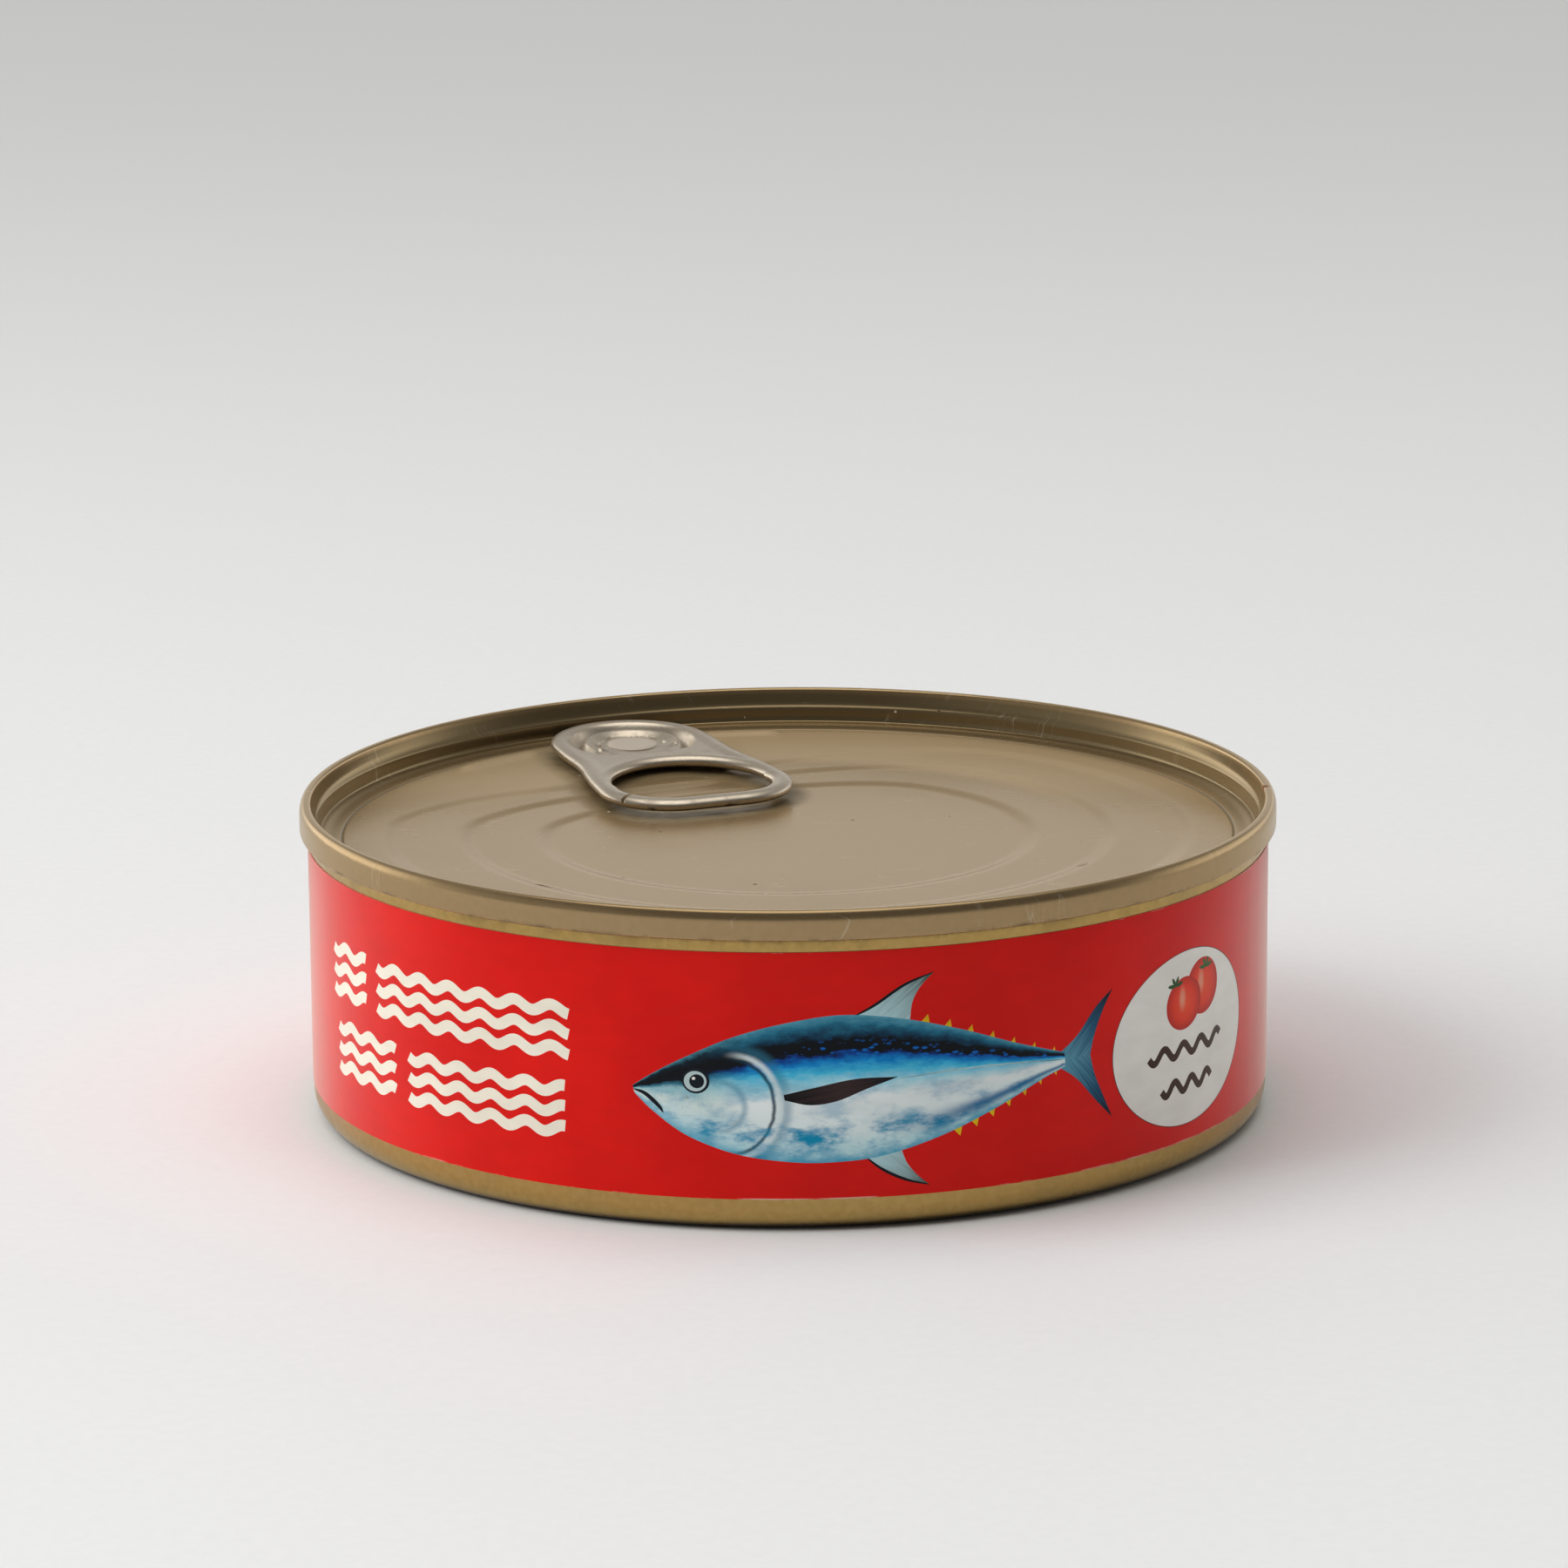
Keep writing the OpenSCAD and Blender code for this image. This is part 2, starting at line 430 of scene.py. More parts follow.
# ---------------------------------------------------------------- metal finishes
LID_METAL = ((0.345, 0.238, 0.120, 1), (0.365, 0.253, 0.129, 1))
LID_CLOUD = (0.34, 0.235, 0.125, 1)
LID_CHANNEL_SHADE = (0.20, 0.165, 0.095, 1)
LID_WALL_SHADE = (0.17, 0.135, 0.07, 1)
LID_SCORE_SHADE = (0.07, 0.055, 0.03, 1)
LID_FLANK_SHADE = (0.29, 0.195, 0.095, 1)
LID_TAB_SOIL_AND_SHADE = (0.12, 0.09, 0.042, 1)
LID_DUST_AND_LIGHT = (0.47, 0.345, 0.20, 1)
LID_SHINE = (1.0, 0.94, 0.84, 1)
RIVET_METAL = (0.50, 0.43, 0.35, 1)
GOLD = ((0.41, 0.27, 0.088, 1), (0.46, 0.305, 0.105, 1))
GOLD_CLOUD = (0.33, 0.25, 0.12, 1)
GOLD_WORN = (0.50, 0.46, 0.39, 1)
GOLD_CONTACT_SHADOW = (0.06, 0.045, 0.03, 1)
TAB_METAL = ((0.56, 0.478, 0.372, 1), (0.61, 0.523, 0.412, 1))
LID_DIRT_AND_SHADE = paint(62, 42, 22)
GOLD_DIRT_AND_SHADE = paint(74, 46, 18)
TAB_DIRT_AND_SHADE = paint(80, 58, 36)
RUST = paint(116, 62, 24)
DUST = paint(214, 202, 180)


def bump(tree, height, strength, distance):
    node = put(tree, "Bump", {"Strength": strength, "Distance": distance * MM, "Height": height})
    return node.outputs[0]


def place_of(tree):
    """Object coordinates, the distance from the can's axis and the height, in metres."""
    place = put(tree, "TexCoord").outputs["Object"]
    parts = put(tree, "SeparateXYZ", {0: place}).outputs
    flat = put(tree, "CombineXYZ", {0: parts[0], 1: parts[1]}).outputs[0]
    return place, length_of(tree, flat), parts[2]


def sheet_colour(tree, relief, shades):
    """The bare sheet, wandering between two shades along its grain."""
    return blend(tree, mapped(tree, relief["Tone"], 0.3, 0.7), *shades)


def lid_tinplate():
    made, tree, shader = material("lid_tinplate")
    place, radius, height = place_of(tree)
    relief = use(tree, sheet_relief, place, Wave=38.0, Grain=1500.0)
    colour = sheet_colour(tree, relief, LID_METAL)
    cloud = use(tree, patches, place, Scale=55.0, Cover=0.52, Edge=0.3)["Mask"]
    colour = tint(tree, colour, LID_CLOUD, cloud, 0.2)
    # painted shade: the channel around the panel and the inner wall under the rim are painted
    # darker
    channel = band(tree, radius, PANEL_R + 0.1, FOOT_R + 0.1, 0.25)
    colour = tint(tree, colour, LID_CHANNEL_SHADE, channel, 0.3)
    under_rim = fade(tree, height, CAN_H - 0.7, CAN_H - 0.35, 1.0, 0.0)
    inner_wall_shade = times(tree, band(tree, radius, FOOT_R - 0.2, RIM_IN_R + 0.1, 0.2), under_rim)
    colour = tint(tree, colour, LID_WALL_SHADE, inner_wall_shade, 0.55)
    # painted shade along the groove of the score line
    score_shade = band(tree, radius, SCORE_R - 0.1, SCORE_R + 0.16, 0.07)
    colour = tint(tree, colour, LID_SCORE_SHADE, score_shade, 0.7)
    # patches along the seam's lower edge are painted darker, part soiling and part painted shade
    # where the seam meets the neck; soiling also lies in dashes along the near steps
    low_down = fade(tree, height, SEAM_Z + 0.1, SEAM_Z + 0.55, 1.0, 0.0)
    outside = fade(tree, radius, SEAM_R - 0.6, SEAM_R - 0.3)
    stain = use(tree, patches, place, Scale=300.0, Cover=0.5, Edge=0.16)["Mask"]
    seam_grime_and_shade = times(tree, low_down, outside, stain, 0.6)
    flank = mask_of(tree, "flank")
    caught = use(tree, patches, place, Scale=210.0, Cover=0.40, Edge=0.06)["Mask"]
    near_half = fade(tree, axis_of(tree, place, 1), -18, -8, 1.0, 0.0)
    dashes = times(tree, flank, caught, near_half)
    # painted shade: the steps' flanks are tinted darker and warmer for how their tilt takes the
    # light
    colour = tint(tree, colour, LID_FLANK_SHADE, flank, 0.4)
    specked = use(tree, specks, place, Scale=300.0, Amount=0.07, Size=0.07)["Mask"]
    dirt_and_shade = most(tree, seam_grime_and_shade, dashes, times(tree, specked, 0.8))
    colour = tint(tree, colour, LID_DIRT_AND_SHADE, dirt_and_shade)
    # one rust spot on the rim
    spot = tuple(c * MM for c in RUST_SPOT)
    rust_at = put(tree, "VectorMath", {0: place, 1: spot}, operation="DISTANCE").outputs["Value"]
    ragged = times(tree, minus(tree, relief["Tone"], 0.5), 0.0012)
    rust = fade(tree, plus(tree, rust_at, ragged), 0.35, 0.75, 1.0, 0.0)
    colour = tint(tree, colour, RUST, rust)
    scuffs = use(tree, scratches, place, Scale=42.0, Amount=0.5)["Mask"]
    # the panel's back part, behind and beside the tab, is painted paler: part fine dust, part
    # painted light on the far panel
    back_half = fade(tree, axis_of(tree, place, 1), 4, 24)
    dust_and_light = times(tree, back_half, band(tree, radius, 31.0, PANEL_R - 0.3, 2.0))
    colour = tint(tree, colour, LID_DUST_AND_LIGHT, dust_and_light, 0.5)
    # under and around the tab the lid is painted darker, part soiling and part painted shade from
    # the tab, with pale crumbs in it
    by_tab = mask_of(tree, "by_tab")
    tab_soil_and_shade = use(tree, patches, place, Scale=260.0, Cover=0.62, Edge=0.3)["Mask"]
    tab_soil_and_shade = times(tree, by_tab, plus(tree, 0.5, times(tree, tab_soil_and_shade, 0.4)))
    colour = tint(tree, colour, LID_TAB_SOIL_AND_SHADE, tab_soil_and_shade)
    dust = use(tree, specks, place, Scale=420.0, Amount=0.05, Size=0.08)["Mask"]
    crumbs = use(tree, specks, place, Scale=900.0, Amount=0.22, Size=0.16)["Mask"]
    dust = most(tree, dust, times(tree, crumbs, by_tab))
    pale = most(tree, dust, times(tree, scuffs, 0.7))
    colour = tint(tree, colour, DUST, pale, 0.8)
    # the rivet's head was never lacquered
    colour = tint(tree, colour, RIVET_METAL, mask_of(tree, "rivet"))

    marked = most(tree, dirt_and_shade, rust, dust)
    dull = most(tree, scuffs, times(tree, cloud, 0.35))
    rough = add_up(tree, 0.24, times(tree, dull, 0.08), times(tree, marked, 0.5),
                   times(tree, dust_and_light, 0.16), times(tree, tab_soil_and_shade, 0.3))
    # the flat panel is the haziest part of the lacquer
    haze = fade(tree, radius, PANEL_R - 0.5, PANEL_R + 0.5, 0.50, 0.86)
    haze = minus(tree, haze, times(tree, dust_and_light, 0.26))
    covered = most(tree, times(tree, marked, 0.9), times(tree, tab_soil_and_shade, 0.75))
    metal = times(tree, haze, minus(tree, 1.0, covered))
    deep = minus(tree, relief["Height"], times(tree, scuffs, 0.05))
    wire(tree, shader, Base_Color=colour, Roughness=rough, Metallic=metal,
         Specular_Tint=LID_SHINE, Normal=bump(tree, deep, 0.22, 0.12))
    return made


def gold_lacquer():
    made, tree, shader = material("gold_lacquer")
    place, _, height = place_of(tree)
    relief = use(tree, sheet_relief, place, Wave=60.0, Grain=1300.0)
    colour = sheet_colour(tree, relief, GOLD)
    cloud = use(tree, patches, place, Scale=90.0, Cover=0.5, Edge=0.3)["Mask"]
    colour = tint(tree, colour, GOLD_CLOUD, cloud, 0.4)
    # the foot is rubbed bare in places, and has a painted contact shadow where it meets the floor
    foot = fade(tree, height, 0.2, 1.2, 1.0, 0.0)
    rub = use(tree, patches, place, Scale=420.0, Cover=0.5, Edge=0.1)["Mask"]
    colour = tint(tree, colour, GOLD_WORN, times(tree, foot, rub), 0.3)
    colour = tint(tree, colour, GOLD_CONTACT_SHADOW, fade(tree, height, 0.15, 1.0, 0.8, 0.0))
    # the neck between the label and the seam is painted darker in patches: part soiling, part
    # painted shade under the seam
    neck = fade(tree, height, PAPER_TOP - 0.4, SEAM_Z + 0.2)
    stain = use(tree, patches, place, Scale=240.0, Cover=0.5, Edge=0.14)["Mask"]
    specked = use(tree, specks, place, Scale=260.0, Amount=0.07, Size=0.13)["Mask"]
    dirt_and_shade = most(tree, times(tree, neck, stain, 0.3, 0.85), specked)
    colour = tint(tree, colour, GOLD_DIRT_AND_SHADE, dirt_and_shade)
    rough = add_up(tree, 0.26, times(tree, cloud, 0.14), times(tree, dirt_and_shade, 0.45))
    metal = minus(tree, 1.0, times(tree, dirt_and_shade, 0.9))
    wire(tree, shader, Base_Color=colour, Roughness=rough, Metallic=metal,
         Normal=bump(tree, relief["Height"], 0.35, 0.1))
    return made


def tab_tinplate():
    made, tree, shader = material("tab_tinplate")
    place = put(tree, "TexCoord").outputs["Object"]
    relief = use(tree, sheet_relief, place, Wave=160.0, Grain=2600.0)
    colour = sheet_colour(tree, relief, TAB_METAL)
    # surfaces facing down get more stain: painted shade on the tab's underside, over real stains
    facing = axis_of(tree, put(tree, "NewGeometry").outputs["Normal"], 2)
    below = mapped(tree, facing, -0.5, 0.1, 1.0, 0.0)
    stain = use(tree, patches, place, Scale=330.0, Cover=0.44, Edge=0.12)["Mask"]
    dirt_and_shade = times(tree, stain, plus(tree, 0.25, times(tree, below, 0.7)))
    colour = tint(tree, colour, TAB_DIRT_AND_SHADE, dirt_and_shade)
    scuffs = use(tree, scratches, place, Scale=90.0, Amount=0.6)["Mask"]
    rough = add_up(tree, 0.34, times(tree, scuffs, 0.15), times(tree, dirt_and_shade, 0.4))
    metal = minus(tree, 1.0, times(tree, dirt_and_shade, 0.8))
    wire(tree, shader, Base_Color=colour, Roughness=rough, Metallic=metal,
         Normal=bump(tree, relief["Height"], 0.3, 0.05))
    return made


# ---------------------------------------------------------------- printed paper
PAPER_SHADE = (0.02, 0.01, 0.01, 1)
PAPER_SHEEN = (1.0, 0.94, 0.84, 1)
BARE_PAPER = paint(226, 205, 188)


def printed(name, colour_of):
    """Coated paper in one ink. colour_of builds the ink's colour from the nodes given."""
    made, tree, shader = material(name)
    place, _, height = place_of(tree)
    relief = use(tree, paper_relief, place, Fibre=1100.0)
    # the print's own map runs over each shape, from 0 to 1
    shape = put(tree, "UVMap", uv_map="shape").outputs[0]
    colour = colour_of(tree, place, axis_of(tree, shape, 0), axis_of(tree, shape, 1))
    colour = tint(tree, colour, PAPER_SHADE, mapped(tree, relief["Tone"], 0.3, 0.7, 0.0, 0.05))
    # the strip's two edges are frayed in places, and a few flecks of ink are missing
    top = fade(tree, height, PAPER_TOP - 0.16, PAPER_TOP - 0.04)
    low = fade(tree, height, PAPER_TOP - PAPER_H + 0.04, PAPER_TOP - PAPER_H + 0.16, 1.0, 0.0)
    rubbed = use(tree, patches, place, Scale=70.0, Cover=0.46, Edge=0.1)["Mask"]
    fleck = use(tree, specks, place, Scale=170.0, Amount=0.035, Size=0.07)["Mask"]
    bare = most(tree, times(tree, most(tree, top, low), rubbed), fleck)
    colour = tint(tree, colour, BARE_PAPER, bare, 0.8)
    scuffs = use(tree, scratches, place, Scale=70.0, Amount=0.5)["Mask"]
    rough = plus(tree, 0.30, times(tree, most(tree, bare, scuffs), 0.25))
    wire(tree, shader, Base_Color=colour, Roughness=rough, IOR=1.22, Sheen_Weight=0.9,
         Sheen_Roughness=0.3, Sheen_Tint=PAPER_SHEEN,
         Normal=bump(tree, relief["Height"], 0.2, 0.05))
    return made


def flat_ink(light, dark):
    """An even ink that clouds a little between two shades."""
    def build(tree, place, across, down):
        cloud = noise(tree, place, 90.0, 3.0)
        return blend(tree, mapped(tree, cloud, 0.35, 0.65), paint(*light), paint(*dark))
    return build


# from the back (0) to the belly (1), in sRGB
FLANK_SHADES = [
    (0.00, (84, 160, 184)), (0.06, (36, 116, 146)), (0.115, (12, 62, 90)), (0.155, (2, 12, 20)),
    (0.24, (2, 8, 16)), (0.262, (0, 66, 150)), (0.31, (0, 136, 212)), (0.37, (70, 196, 236)),
    (0.46, (176, 230, 244)), (0.57, (244, 253, 253)), (0.80, (232, 248, 249)),
    (0.93, (196, 234, 240)), (1.00, (96, 178, 206))]
HEAD_SHADES = [
    (0.00, (70, 140, 160)), (0.06, (10, 34, 48)), (0.15, (4, 10, 16)), (0.28, (6, 16, 26)),
    (0.34, (60, 128, 152)), (0.41, (160, 204, 210)), (0.60, (222, 238, 234)),
    (0.80, (204, 232, 236)), (1.00, (110, 186, 212))]
GILL_AT = (0.175, 0.60)
GILL_HALF = (0.15, 0.46)


def fish_ink(tree, place, across, down):
    """Dark back, blue flank and pale mottled belly; across runs nose to tail."""
    long_spots = put(tree, "Mapping", {"Vector": place, "Scale": (1, 1, 2.2)}).outputs[0]
    mottle = minus(tree, noise(tree, long_spots, 420.0, 5.0, 0.7), 0.5)
    level = plus(tree, down, times(tree, mottle, 0.17))
    cheeks = mapped(tree, down, 0.36, 0.5)
    head = ramp(tree, level, HEAD_SHADES)
    blotch = use(tree, patches, place, Scale=560.0, Cover=0.52, Edge=0.3)["Mask"]
    head = tint(tree, head, paint(60, 160, 184), times(tree, blotch, cheeks), 0.6)
    warm = use(tree, patches, place, Scale=620.0, Cover=0.40, Edge=0.1)["Mask"]
    head = tint(tree, head, paint(140, 124, 74), times(tree, warm, cheeks), 0.5)
    flank = ramp(tree, level, FLANK_SHADES)
    colour = blend(tree, mapped(tree, across, 0.14, 0.30), head, flank)

    # the gill cover ends in a dark line with a pale rim and a shadow behind it
    from_gill = put(tree, "CombineXYZ", {
        i: calc(tree, "DIVIDE", minus(tree, way, GILL_AT[i]), GILL_HALF[i])
        for i, way in enumerate((across, down))}).outputs[0]
    from_gill = plus(tree, length_of(tree, from_gill), times(tree, mottle, 0.06))
    behind = mapped(tree, across, 0.2, 0.27)
    for at, width, amount, shade in ((1.13, 0.15, 0.5, (52, 128, 160)),
                                     (1.03, 0.08, 0.9, (226, 240, 242)),
                                     (0.95, 0.05, 0.95, (26, 60, 80))):
        arc_mask = mapped(tree, off_from(tree, from_gill, at), 0.0, width, amount, 0.0)
        colour = tint(tree, colour, paint(*shade), times(tree, arc_mask, behind))
    cheek = mapped(tree, off_from(tree, from_gill, 0.52), 0.0, 0.09, 0.5, 0.0)
    cheek = times(tree, cheek, mapped(tree, across, 0.17, 0.22))
    colour = tint(tree, colour, paint(70, 140, 168), cheek)

    # blue pools on the belly, and a darker streak low along the rear half
    pools = noise(tree, long_spots, 230.0, 4.0, 0.62)
    belly = times(tree, mapped(tree, down, 0.34, 0.5), 0.4)
    low_belly = mapped(tree, off_from(tree, down, 0.83), 0.02, 0.17, 0.6, 0.0)
    wash = times(tree, mapped(tree, pools, 0.42, 0.66), plus(tree, belly, low_belly))
    colour = tint(tree, colour, paint(0, 146, 190), wash)
    streak = times(tree, mapped(tree, off_from(tree, down, 0.84), 0.0, 0.13, 0.9, 0.0),
                   mapped(tree, across, 0.55, 0.8))
    colour = tint(tree, colour, paint(4, 104, 158), streak)

    # blue spots over the dark back
    spots = use(tree, specks, long_spots, Scale=1150.0, Amount=0.8, Size=0.38)["Mask"]
    on_back = times(tree, mapped(tree, down, 0.14, 0.22), mapped(
        tree, down, 0.26, 0.33, 1.0, 0.0), mapped(tree, across, 0.3, 0.42))
    return tint(tree, colour, paint(4, 100, 190), times(tree, spots, on_back))


def fin_ink(root, middle, tip):
    """Fine rays over a fin that darkens towards its tip; down runs root to tip."""
    def build(tree, place, across, down):
        fan = put(tree, "CombineXYZ", {0: times(tree, across, 26.0),
                                       1: times(tree, down, 1.6)}).outputs[0]
        ray = times(tree, minus(tree, noise(tree, fan, 1.0, 3.0), 0.5), 0.9)
        return ramp(tree, plus(tree, down, ray), [(0.0, root), (0.5, middle), (1.0, tip)])
    return build


def tomato_ink(tree, place, across, down):
    """Red flesh, darker round its edge, with a soft highlight to one side."""
    centred = put(tree, "CombineXYZ", {0: minus(tree, across, 0.5),
                                       1: minus(tree, down, 0.5)}).outputs[0]
    flesh = ramp(tree, length_of(tree, centred), [
        (0.0, (250, 84, 40)), (0.3, (242, 56, 24)), (0.52, (190, 26, 12))])
    glint = put(tree, "VectorMath", {0: centred, 1: (-0.06, -0.1, 0)}, operation="SUBTRACT")
    glint = put(tree, "VectorMath", {0: glint.outputs[0], 1: (1.0, 0.42, 0)},
                operation="MULTIPLY").outputs[0]
    lit = mapped(tree, length_of(tree, glint), 0.02, 0.13, 0.75, 0.0)
    return tint(tree, flesh, paint(246, 170, 140), lit)


INKS = {
    "red_paper": flat_ink((230, 18, 8), (221, 13, 5)),
    "cream_ink": flat_ink((250, 243, 226), (244, 236, 218)),
    "fish_ink": fish_ink,
    "fin_ink": fin_ink((184, 222, 228), (156, 186, 190), (84, 92, 84)),
    "tail_ink": fin_ink((96, 160, 184), (30, 88, 122), (6, 20, 34)),
    "dark_fin_ink": fin_ink((6, 10, 16), (62, 44, 44), (8, 12, 20)),
    "finlet_ink": flat_ink((250, 214, 20), (226, 176, 12)),
    "outline_ink": flat_ink((10, 18, 26), (16, 26, 36)),
    "eye_ink": flat_ink((232, 242, 240), (190, 210, 212)),
    "badge_ink": flat_ink((250, 247, 241), (243, 239, 232)),
    "tomato_ink": tomato_ink,
    "leaf_ink": flat_ink((52, 110, 44), (34, 78, 34)),
    "brown_ink": flat_ink((72, 44, 32), (58, 34, 24)),
}
INK_NAMES = list(INKS)
print_materials = [printed(name, INKS[name]) for name in INK_NAMES]


# ---------------------------------------------------------------- the print's shapes
# Label places are (arc from the front centre, depth below the paper's top), in millimetres.
FISH_TOP = [(-15.5, 13.75), (-13.3, 12.3), (-10, 10.5), (-5.6, 8.5), (-0.5, 7.05), (5.1, 6.3),
            (11, 6.95), (17, 8.5), (23, 10.6), (28.4, 12.3)]
FISH_LOW = [(-15.3, 14.5), (-13.3, 16.3), (-10, 18.5), (-5.2, 20.2), (0, 20.95), (4.2, 21.05),
            (9, 20.6), (15, 19), (21, 16.7), (25.6, 14.7), (28.5, 13.75)]
NOSE_X, TAIL_X = -15.5, 28.5
fish_top = curve_through(FISH_TOP, 10)
fish_low = curve_through(FISH_LOW, 10)


def along_fish(points):
    """Nose to tail and back to belly, each from 0 to 1."""
    high = np.interp(points[:, 0], fish_top[:, 0], fish_top[:, 1])
    low = np.interp(points[:, 0], fish_low[:, 0], fish_low[:, 1])
    across = (points[:, 0] - NOSE_X) / (TAIL_X - NOSE_X)
    return np.column_stack([across, (points[:, 1] - high) / np.maximum(low - high, 0.3)])


def in_box(outline):
    """A map from 0 to 1 over the outline's own box."""
    low, high = outline.min(0), outline.max(0)
    return lambda points: (points - low) / (high - low)


def from_root(start, end, width):
    """A map across a fin and along it, from its root to its tip."""
    start, end = np.array(start, float), np.array(end, float)
    length = np.linalg.norm(end - start)
    way = (end - start) / length
    side = np.array([-way[1], way[0]])
    def run(points):
        offset = points - start
        return np.column_stack([0.5 + offset @ side / width, offset @ way / length])
    return run


def ellipse(centre, half, turn=0.0, count=40):
    angles = np.linspace(0, 2 * math.pi, count, endpoint=False)
    flat = np.column_stack([half[0] * np.cos(angles), half[1] * np.sin(angles)])
    turn = math.radians(turn)
    spin = np.array([[math.cos(turn), math.sin(turn)], [-math.sin(turn), math.cos(turn)]])
    return flat @ spin + np.array(centre, float)


def thick_line(points, width, per_span=8, taper=False):
    """The outline of a stroke along a smooth curve."""
    middle = curve_through(points, per_span)
    way = np.gradient(middle, axis=0)
    side = np.column_stack([-way[:, 1], way[:, 0]]) / np.linalg.norm(way, axis=1)[:, None]
    half = np.full(len(middle), width / 2)
    if taper:
        half *= 0.15 + 0.85 * np.sin(np.linspace(0, math.pi, len(middle))) ** 0.7
    return np.vstack([middle + side * half[:, None], (middle - side * half[:, None])[::-1]])


def water_line(start, end, depth, wave=0.4, width=1.15, length=4.2):
    """A wavy rule with even waves, in place of a line of words."""
    count = max(2, round((end - start) / length * 12))
    xs = np.linspace(start, end, count + 1)
    points = [(x, depth + wave * math.sin((x - start) / length * 2 * math.pi)) for x in xs]
    return thick_line(points, width, per_span=2)


prints = []


def add_print(outline, ink, shape_map=None):
    """Adds a shape to the print; a later shape covers an earlier one."""
    outline = np.asarray(outline, float)
    prints.append((outline, INK_NAMES.index(ink), shape_map or in_box(outline)))


# rows of wavy rules at the left, as (start, end) pairs and the depth of the first rule
RULE_ROWS = (([(-58.4, -50.6), (-48.3, -22.2)], 6.9), ([(-57.4, -45.2), (-42.9, -22.7)], 14.9))
RULE_PITCH = 2.05
for words, row_top in RULE_ROWS:
    for start, end in words:
        for rule in range(3):
            add_print(water_line(start, end, row_top + RULE_PITCH * rule), "cream_ink")

# finlets from the two fins to the tail, smaller towards the tail
for line, first, last, out in ((fish_top, 13.1, 27.0, -1), (fish_low, 16.4, 27.2, 1)):
    for x in np.linspace(first, last, 7):
        size = 0.95 - 0.5 * (x - first) / (last - first)
        y = np.interp(x, line[:, 0], line[:, 1])
        root = -out * 0.5
        add_print([(x - 0.75 * size, y + root), (x + 0.5 * size, y + out * 0.75 * size),
                   (x + 0.75 * size, y + root)], "finlet_ink")

# the upper and the lower fin: leading edge, trailing edge, and the middle of the root
FINS = (
    ([(6.0, 6.6), (8.2, 5.5), (11.2, 3.6), (14.2, 2.5)],
     [(14.2, 2.5), (12.8, 3.9), (12.0, 5.4), (11.75, 7.3)], (8.8, 7.2)),
    ([(7.2, 20.5), (8.9, 21.9), (11.2, 23.1), (13.7, 23.85)],
     [(13.7, 23.85), (12.3, 22.6), (11.4, 21.4), (10.9, 20.1)], (9.0, 20.4)),
)
for leading, trailing, root in FINS:
    edge = curve_through(leading, 6)
    outline = np.vstack([edge, curve_through(trailing, 6)[1:]])
    add_print(outline, "fin_ink", from_root(root, leading[-1], 6))
    add_print(thick_line(edge[::6], 0.3, taper=True), "outline_ink")

# the tail's two lobes meet at the middle line
TAIL_Y = 13.05
for tip_y, way in ((6.75, -1), (19.95, 1)):
    tip = (34.45, tip_y)
    leading = curve_through([(27.6, TAIL_Y + way * 0.6), (29.9, TAIL_Y + way * 2.2),
                             (32.2, TAIL_Y + way * 4.7), tip], 6)
    trailing = curve_through([tip, (33.1, TAIL_Y + way * 4.2), (32.1, TAIL_Y + way * 2.0),
                              (31.55, TAIL_Y)], 6)
    add_print(np.vstack([leading, trailing[1:], [(27.6, TAIL_Y)]]), "tail_ink",
              from_root((28.6, TAIL_Y), tip, 5))

# body, mouth, side line, eye and the fin on the side
add_print(np.vstack([fish_top, fish_low[::-1]]), "fish_ink", along_fish)
mouth = [(-15.4, 14.1), (-14.2, 14.5), (-12.9, 15.6), (-12.4, 16.3)]
add_print(thick_line(mouth, 0.42, taper=True), "outline_ink")
side_line = [(10.8, 12.9), (17, 12.5), (23, 12.6), (28.2, 13.0)]
add_print(thick_line(side_line, 0.16, taper=True), "fin_ink")
add_print(ellipse((-9.15, 12.95), (1.36, 1.26)), "outline_ink")
add_print(ellipse((-9.2, 12.98), (1.12, 1.02)), "eye_ink")
add_print(ellipse((-9.05, 12.98), (0.74, 0.70), count=28), "outline_ink")
add_print(ellipse((-9.36, 12.7), (0.18, 0.16), count=16), "badge_ink")
side_fin = curve_through([(-0.6, 14.2), (2.2, 13.55), (6.4, 12.75), (10.6, 12.75)], 7)
side_fin_low = curve_through(
    [(10.6, 12.75), (7.6, 13.75), (4.6, 14.9), (2.0, 15.25), (-0.5, 14.75)], 7)
add_print(np.vstack([side_fin, side_fin_low[1:]]), "dark_fin_ink",
          from_root((-0.5, 14.5), (10.6, 12.8), 3))

# the pale badge, with two tomatoes and two short wavy rules
BADGE_AT = (45.9, 14.1)
BADGE_HALF = (11.4, 8.9)
add_print(ellipse(BADGE_AT, (11.5, 8.98), count=96), "brown_ink")
add_print(ellipse(BADGE_AT, BADGE_HALF, count=96), "badge_ink")
# each tomato: centre, half width and height, lean, and its stem's place from the centre
TOMATOES = (((48.7, 9.4), (3.0, 2.9), 8, (0.6, -2.0)),
            ((45.3, 10.5), (3.0, 2.7), -6, (-1.5, -2.2)))
LEAF_L = 1.35
for centre, half, turn, (stem_x, stem_y) in TOMATOES:
    add_print(ellipse(centre, half, turn), "tomato_ink")
    stem = (centre[0] + stem_x, centre[1] + stem_y)
    for lean in np.radians([-70, -25, 20, 65]):
        tip = (stem[0] + LEAF_L * math.sin(lean), stem[1] - LEAF_L * math.cos(lean) + 0.5)
        add_print(thick_line([(stem[0], stem[1] + 0.2), tip], 0.42, 6, True), "leaf_ink")
add_print(water_line(39.6, 52.3, 15.2, 0.6, 0.75, 3.2), "brown_ink")
